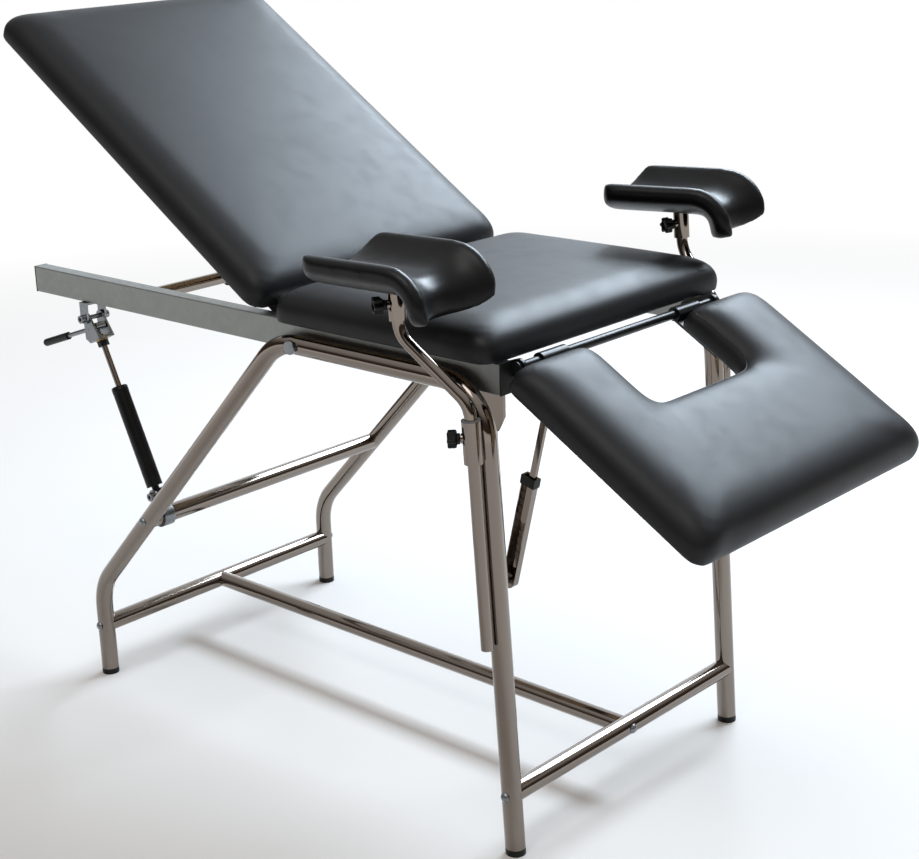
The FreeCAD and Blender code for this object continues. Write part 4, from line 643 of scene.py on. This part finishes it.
def add_turned(bm, profile, steps):
    """Adds a turned shape to a bmesh from (radius, height) pairs."""
    verts = [bm.verts.new((radius, 0.0, height)) for radius, height in profile]
    edges = [bm.edges.new(pair) for pair in zip(verts, verts[1:])]
    bmesh.ops.spin(bm, geom=verts + edges, cent=(0, 0, 0), axis=(0, 0, 1), angle=2 * math.pi,
                   steps=steps, use_merge=True)
    bmesh.ops.remove_doubles(bm, verts=bm.verts[:], dist=1e-6)


def along(place, axis):
    """Move that carries +Z at the origin to an axis at a place."""
    return Matrix.Translation(place) @ Vector(axis).to_track_quat("Z", "Y").to_matrix().to_4x4()


# Trim

def flat_points(node, lay_flat):
    """Corner points of a CAD node while it lies flat."""
    return [lay_flat @ vert.co for vert in NODES[node].data.vertices]


def outline_box(points):
    """Low x, high x and half width of flat points, and the height of their underside."""
    xs = [point.x for point in points]
    return min(xs), max(xs), max(abs(point.y) for point in points), min(point.z for point in points)


def fold_pairs(corners, inward, trim):
    """Points on a fold's outer edge, round at the corners, each with its point on the cut edge."""
    pairs = []
    for index, (place, way) in enumerate(zip(corners, inward)):
        corner = Vector(place)
        cut = corner + Vector(way) * trim.margin
        if index in (0, len(corners) - 1):
            pairs.append((corner, cut))
            continue
        start = corner + (Vector(corners[index - 1]) - corner).normalized() * trim.corner
        end = corner + (Vector(corners[index + 1]) - corner).normalized() * trim.corner
        centre = start + end - corner
        for step in range(7):
            turn = math.pi / 12 * step
            pairs.append((centre + (start - centre) * math.cos(turn) + (end - centre) * math.sin(turn), cut))
    return pairs


def folded_margin(corners, inward, height, trim):
    """Vinyl folded under a board; its inner edge is cut a little unevenly."""
    bm = bmesh.new()
    rng = random.Random(5)
    pairs = fold_pairs(corners, inward, trim)
    for (edge, cut), (next_edge, next_cut) in zip(pairs, pairs[1:]):
        steps = max(1, round((next_edge - edge).length / 0.009))
        rows = []
        for step in range(steps + 1):
            outer = edge.lerp(next_edge, step / steps)
            inner = cut.lerp(next_cut, step / steps)
            if 0 < step < steps:
                inner = inner.lerp(outer, rng.uniform(0.0, trim.wave) / trim.margin)
            rows.append([bm.verts.new((*outer.lerp(inner, share), height)) for share in (0.0, 0.5, 1.0)])
        for first, second in zip(rows, rows[1:]):
            for place in range(2):
                bm.faces.new((first[place], first[place + 1], second[place + 1], second[place]))
    bmesh.ops.remove_doubles(bm, verts=bm.verts[:], dist=1e-5)
    grown = bmesh.ops.extrude_face_region(bm, geom=bm.faces[:])["geom"]
    low = [item for item in grown if isinstance(item, bmesh.types.BMVert)]
    bmesh.ops.translate(bm, vec=(0.0, 0.0, -trim.skin), verts=low)
    return bm


def staples_along(corners, inward, height, trim):
    """Staple crowns along the middle of a folded margin, each a little askew."""
    bm = bmesh.new()
    rng = random.Random(9)
    shift = trim.margin * 0.5
    line = [Vector((x + dx * shift, y + dy * shift, height)) for (x, y), (dx, dy) in zip(corners, inward)]
    for start, end in zip(line, line[1:]):
        run = end - start
        count = int(run.length / trim.staple_pitch)
        for index in range(count):
            middle = start + run * ((index + 0.5) / count)
            turn = math.atan2(run.y, run.x) + rng.uniform(-0.25, 0.25)
            place = Matrix.Translation(middle) @ Matrix.Rotation(turn, 4, "Z")
            bmesh.ops.create_cube(bm, size=1.0, matrix=place @ Matrix.Diagonal((*trim.staple, 1.0)))
    edges = [edge for edge in bm.edges if edge.calc_length() < 2 * trim.staple[1]]
    bmesh.ops.bevel(bm, geom=edges, offset=0.0002, offset_type="OFFSET", segments=2, profile=0.5,
                    affect="EDGES", material=-1)
    return bm


def add_fold(panel, node, lay_flat, corners, inward, height, trim):
    """Makes a board's folded margin and its staples, set back in the rest pose."""
    body = NODES[node]["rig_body"]
    back = lay_flat.inverted()
    fold = folded_margin(corners, inward, height, trim)
    staples = staples_along(corners, inward, height - trim.skin, trim)
    for bm, name, slot in ((fold, "folded_margin", "black_vinyl"), (staples, "staples", "zinc_steel")):
        bmesh.ops.transform(bm, matrix=back, verts=bm.verts[:])
        new_piece(panel + "_" + name, mesh_from(bm, panel + "_" + name), body, slot)


def cut_out_line(points, corner_r, inset):
    """Line round the leg section's cut-out, drawn back from its wall; open to the hinge."""
    near = min(point.x for point in points)
    half = min(abs(point.y) for point in points if point.x < near + 0.1) + inset
    closed = min(point.x for point in points if abs(point.y) < half - 2 * inset) + inset
    line = [(near + 0.014, half)]
    for step in range(9):
        angle = math.radians(90.0 - 11.25 * step)
        along_x = closed - corner_r + corner_r * math.cos(angle)
        across_y = half - corner_r + corner_r * math.sin(angle)
        line.append((along_x, across_y))
    return line + [(x, -y) for x, y in reversed(line)]


def spaced(line, step):
    """A line's points with more points added along its long runs."""
    points = []
    for first, second in zip(line, line[1:]):
        count = max(1, round((second - first).length / step))
        points += [first.lerp(second, index / count) for index in range(count)]
    return points + [line[-1]]


def bead_mesh(points, radius):
    """Round bead along a line of points."""
    curve = bpy.data.curves.new("bead", "CURVE")
    curve.dimensions = "3D"
    curve.bevel_depth = radius
    curve.bevel_resolution = 2
    curve.use_fill_caps = True
    spline = curve.splines.new("POLY")
    spline.points.add(len(points) - 1)
    for place, point in zip(spline.points, points):
        place.co = (*point, 1.0)
    work = bpy.data.objects.new("bead", curve)
    bpy.context.scene.collection.objects.link(work)
    mesh = evaluated_mesh(work)
    bpy.data.objects.remove(work)
    mesh.shade_smooth()
    return mesh


# Operators

class TABLE_OT_finishes(bpy.types.Operator):
    """Make every finish and put it on the CAD nodes"""
    bl_idname = "table.finishes"
    bl_label = "Finishes"

    def execute(self, context):
        finishes = make_finishes(context.scene.table_finish)
        for node, piece in NODES.items():
            piece.data.materials.clear()
            piece.data.materials.append(finishes[NODE_SLOT[node]])
        return {"FINISHED"}


class TABLE_OT_cushions(bpy.types.Operator):
    """Blow up the backrest, seat and leg cushions"""
    bl_idname = "table.cushions"
    bl_label = "Cushions"

    def execute(self, context):
        settings = context.scene.table_cushions
        panels = (("back_cushion", "backrest_upholstery", flat_pose("backrest_lift")),
                  ("seat_cushion", "seat_upholstery", Matrix.Identity(4)),
                  ("leg_cushion", "leg_upholstery", flat_pose("leg_section_drop")))
        for node, name, lay_flat in panels:
            piece = soft_piece(node, name, lay_flat, held_by_board(settings.underside), settings.voxel,
                               settings.smoothing, settings.draw_in, settings.swell, settings)
        return {"FINISHED"}


class TABLE_OT_pads(bpy.types.Operator):
    """Blow up the two crutch pads"""
    bl_idname = "table.pads"
    bl_label = "Crutch pads"

    def execute(self, context):
        settings = context.scene.table_cushions
        for side in SIDES:
            held = held_by_sleeve(side + "_pad_sleeve", settings.sleeve_reach)
            piece = soft_piece(side + "_crutch_pad", side + "_pad_foam", Matrix.Identity(4), held,
                               settings.pad_voxel, settings.pad_smoothing, 0.0, settings.pad_swell, settings)
        return {"FINISHED"}


class TABLE_OT_knobs(bpy.types.Operator):
    """Make the four clamp knobs"""
    bl_idname = "table.knobs"
    bl_label = "Clamp knobs"

    def execute(self, context):
        settings = context.scene.table_knobs
        for side in SIDES:
            for place, node in (("crutch", "_crutch_knob"), ("pad", "_pad_knob")):
                joint = JOINTS[side + "_" + place + "_knob_turn"]
                bm = star_knob(settings)
                add_turned(bm, KNOB_HUB, 32)
                stud = along(Vector(joint["pos_m"]), joint["axis"])
                lifted = stud @ Matrix.Translation((0, 0, settings.lift))
                bmesh.ops.transform(bm, matrix=lifted, verts=bm.verts[:])
                piece = new_piece(side + "_" + place + "_star_knob", mesh_from(bm, "knob"),
                                  joint["child"], "black_plastic")
                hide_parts(side + node)
        return {"FINISHED"}


class TABLE_OT_folds(bpy.types.Operator):
    """Fold the vinyl under the backrest and leg boards and staple it"""
    bl_idname = "table.folds"
    bl_label = "Folded margins"

    def execute(self, context):
        trim = context.scene.table_trim
        lay_flat = flat_pose("backrest_lift")
        far, near, half, under = outline_box(flat_points("back_board", lay_flat))
        wide = half + trim.overlap
        tail = near - trim.margin
        add_fold("backrest", "back_board", lay_flat,
                 ((tail, -wide), (far - trim.overlap, -wide), (far - trim.overlap, wide), (tail, wide)),
                 ((0, 1), (1, 1), (1, -1), (0, -1)), under, trim)
        lay_flat = flat_pose("leg_section_drop")
        near, far, half, under = outline_box(flat_points("leg_board", lay_flat))
        wide = half + trim.overlap
        tail = near + trim.margin
        add_fold("leg", "leg_board", lay_flat,
                 ((tail, wide), (far + trim.overlap, wide), (far + trim.overlap, -wide), (tail, -wide)),
                 ((0, -1), (-1, -1), (-1, 1), (0, 1)), under, trim)
        return {"FINISHED"}


class TABLE_OT_seam(bpy.types.Operator):
    """Sew the bead round the leg section's cut-out"""
    bl_idname = "table.seam"
    bl_label = "Cut-out seam"

    def execute(self, context):
        trim = context.scene.table_trim
        lay_flat = flat_pose("leg_section_drop")
        points = flat_points("leg_cushion", lay_flat)
        height = min(point.z for point in points) + trim.seam_height
        outline = cut_out_line(points, trim.seam_corner, trim.seam_inset)
        line = [Vector((x, y, height)) for x, y in outline]
        back = lay_flat.inverted()
        skin = evaluated_mesh(bpy.data.objects["leg_upholstery"])
        surface = BVHTree.FromPolygons([vert.co for vert in skin.vertices],
                                       [face.vertices[:] for face in skin.polygons])
        bpy.data.meshes.remove(skin)
        sewn = [surface.find_nearest(back @ point)[0] for point in spaced(line, trim.seam_step)]
        body = NODES["leg_cushion"]["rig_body"]
        new_piece("leg_cut_out_seam", bead_mesh(sewn, trim.seam), body, "black_vinyl")
        return {"FINISHED"}


class TABLE_OT_crimp(bpy.types.Operator):
    """Roll the end of the gas cylinder over its gland"""
    bl_idname = "table.crimp"
    bl_label = "Cylinder crimp"

    def execute(self, context):
        foot = Vector(JOINTS["gas_barrel_swing"]["pos_m"])
        axis = (Vector(JOINTS["gas_plunger_swing"]["pos_m"]) - foot).normalized()
        gland = max((vert.co - foot).dot(axis) for vert in NODES["gas_cylinder"].data.vertices)
        bm = bmesh.new()
        add_turned(bm, CRIMP_ROLL, 48)
        bmesh.ops.transform(bm, matrix=along(foot + axis * gland, axis), verts=bm.verts[:])
        body = NODES["gas_cylinder"]["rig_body"]
        new_piece("gas_cylinder_crimp", mesh_from(bm, "crimp"), body, "black_steel")
        return {"FINISHED"}


class TABLE_OT_stage(bpy.types.Operator):
    """Set up the camera, the pale floor and the studio light"""
    bl_idname = "table.stage"
    bl_label = "Stage"

    def execute(self, context):
        stage = context.scene.table_stage
        make_camera(stage)
        make_floor(stage)
        make_lights(stage)
        make_world()
        context.scene.view_settings.view_transform = "Standard"
        return {"FINISHED"}


def make_camera(stage):
    """Camera at the photo's place and angle."""
    azimuth = math.radians(stage.azimuth)
    elevation = math.radians(stage.elevation)
    roll = math.radians(stage.roll)
    ahead = Vector((-math.sin(azimuth) * math.cos(elevation), math.cos(azimuth) * math.cos(elevation),
                    -math.sin(elevation)))
    level = Vector((math.cos(azimuth), math.sin(azimuth), 0.0))
    up = level.cross(ahead)
    right = level * math.cos(roll) + up * math.sin(roll)
    top = up * math.cos(roll) - level * math.sin(roll)
    data = bpy.data.cameras.new("Camera")
    data.sensor_width = 36.0
    data.lens = stage.focal_pixels * data.sensor_width / IMAGE_WIDTH
    data.shift_x, data.shift_y = stage.shift
    camera = bpy.data.objects.new("Camera", data)
    bpy.context.scene.collection.objects.link(camera)
    turn = Matrix((right, top, -ahead)).transposed().to_4x4()
    camera.matrix_world = Matrix.Translation(Vector(stage.camera_place)) @ turn
    bpy.context.scene.camera = camera


def make_floor(stage):
    """Wide pale floor that runs out to white away from the table."""
    bm = bmesh.new()
    bmesh.ops.create_grid(bm, x_segments=1, y_segments=1, size=40.0)
    floor = bpy.data.objects.new("floor", mesh_from(bm, "floor"))
    bpy.context.scene.collection.objects.link(floor)
    make = Finish("floor")
    soft = make.noise(3.0, 2.0)
    paper = make.node("ShaderNodeBsdfDiffuse", {}, {
        "Color": make.mix(soft, shade(stage.floor, 0.985), shade(stage.floor, 1.015))})
    white = make.node("ShaderNodeEmission", {}, {"Color": (1.0, 1.0, 1.0, 1.0), "Strength": 1.0})
    seen = make.light_path("Is Camera Ray") + make.light_path("Is Glossy Ray")
    seen = seen + make.light_path("Is Transmission Ray")
    distance = make.node("ShaderNodeVectorMath", {"operation": "LENGTH"}, {0: make.coords()}, "Value")
    far = make.ramp(distance * 0.1, ((0.11, 0.0), (0.42, 1.0)))
    mixed = make.node("ShaderNodeMixShader", {}, {0: seen * far, 1: paper, 2: white})
    make.node("ShaderNodeOutputMaterial", {}, {"Surface": mixed})
    floor.data.materials.append(make.material)


def make_lamp(name, place, target, size, power, colour):
    """Rectangular soft lamp aimed at a point."""
    data = bpy.data.lights.new(name, "AREA")
    data.shape = "RECTANGLE"
    data.size, data.size_y = size
    data.energy = power
    data.color = colour
    lamp = bpy.data.objects.new(name, data)
    bpy.context.scene.collection.objects.link(lamp)
    aim = (Vector(target) - Vector(place)).to_track_quat("-Z", "Y").to_matrix().to_4x4()
    lamp.matrix_world = Matrix.Translation(Vector(place)) @ aim


def make_lights(stage):
    """Large side light from beyond the table and a weak overhead light."""
    make_lamp("side_light", place=(-0.1, 2.5, 2.75), target=(0.0, 0.0, 0.75), size=(2.6, 0.9),
              power=stage.key_power, colour=(0.76, 0.88, 1.0))
    make_lamp("overhead_light", place=(0.6, -1.6, 3.4), target=(0.1, 0.0, 0.6), size=(2.0, 1.2),
              power=stage.fill_power, colour=(1.0, 0.98, 0.95))


def make_world():
    """Soft studio surroundings: dark round the horizon, bright overhead and at the window."""
    world = bpy.data.worlds.new("studio")
    bpy.context.scene.world = world
    world.use_nodes = True
    make = Finish("studio", world.node_tree)
    direction = make.node("ShaderNodeTexCoord", {}, {}, "Generated")
    height = make.node("ShaderNodeSeparateXYZ", {}, {0: direction}, 2)
    rise = make.ramp(height, ((0.0, 0.0), (0.25, 0.03), (0.48, 0.55), (1.0, 1.0)))
    sky = make.mix(rise, (0.075, 0.050, 0.036, 1.0), (0.80, 0.80, 0.80, 1.0))
    product = {"operation": "DOT_PRODUCT"}
    toward = make.node("ShaderNodeVectorMath", product, {0: direction, 1: WINDOW}, "Value")
    window = make.ramp(toward, ((0.80, 0.0), (0.97, 1.0)))
    glow = make.mix(window, sky, (1.25, 1.35, 1.45, 1.0))
    backdrop = make.mix(make.light_path("Is Camera Ray"), glow, (1.0, 1.0, 1.0, 1.0))
    soft = make.node("ShaderNodeBackground", {}, {"Color": backdrop, "Strength": 1.0})
    make.node("ShaderNodeOutputWorld", {}, {"Surface": soft})


class TABLE_PT_panel(bpy.types.Panel):
    """Sidebar panel with the table's pieces"""
    bl_label = "Examination table"
    bl_idname = "TABLE_PT_panel"
    bl_space_type = "VIEW_3D"
    bl_region_type = "UI"
    bl_category = "Table"

    def draw(self, context):
        for operator in OPERATORS:
            self.layout.operator(operator.bl_idname)


GROUPS = {
    "table_cushions": CushionSettings,
    "table_knobs": KnobSettings,
    "table_trim": TrimSettings,
    "table_finish": FinishSettings,
    "table_stage": StageSettings,
}
OPERATORS = (TABLE_OT_stage, TABLE_OT_finishes, TABLE_OT_cushions, TABLE_OT_pads, TABLE_OT_knobs,
             TABLE_OT_folds, TABLE_OT_seam, TABLE_OT_crimp)


def register():
    for name, group in GROUPS.items():
        bpy.utils.register_class(group)
        setattr(bpy.types.Scene, name, bpy.props.PointerProperty(type=group))
    for item in (*OPERATORS, TABLE_PT_panel):
        bpy.utils.register_class(item)


def unregister():
    for item in (*OPERATORS, TABLE_PT_panel):
        bpy.utils.unregister_class(item)
    for name, group in GROUPS.items():
        delattr(bpy.types.Scene, name)
        bpy.utils.unregister_class(group)


def main():
    register()
    for operator in OPERATORS:
        group, action = operator.bl_idname.split(".")
        getattr(getattr(bpy.ops, group), action)()


if __name__ == "__main__":
    main()
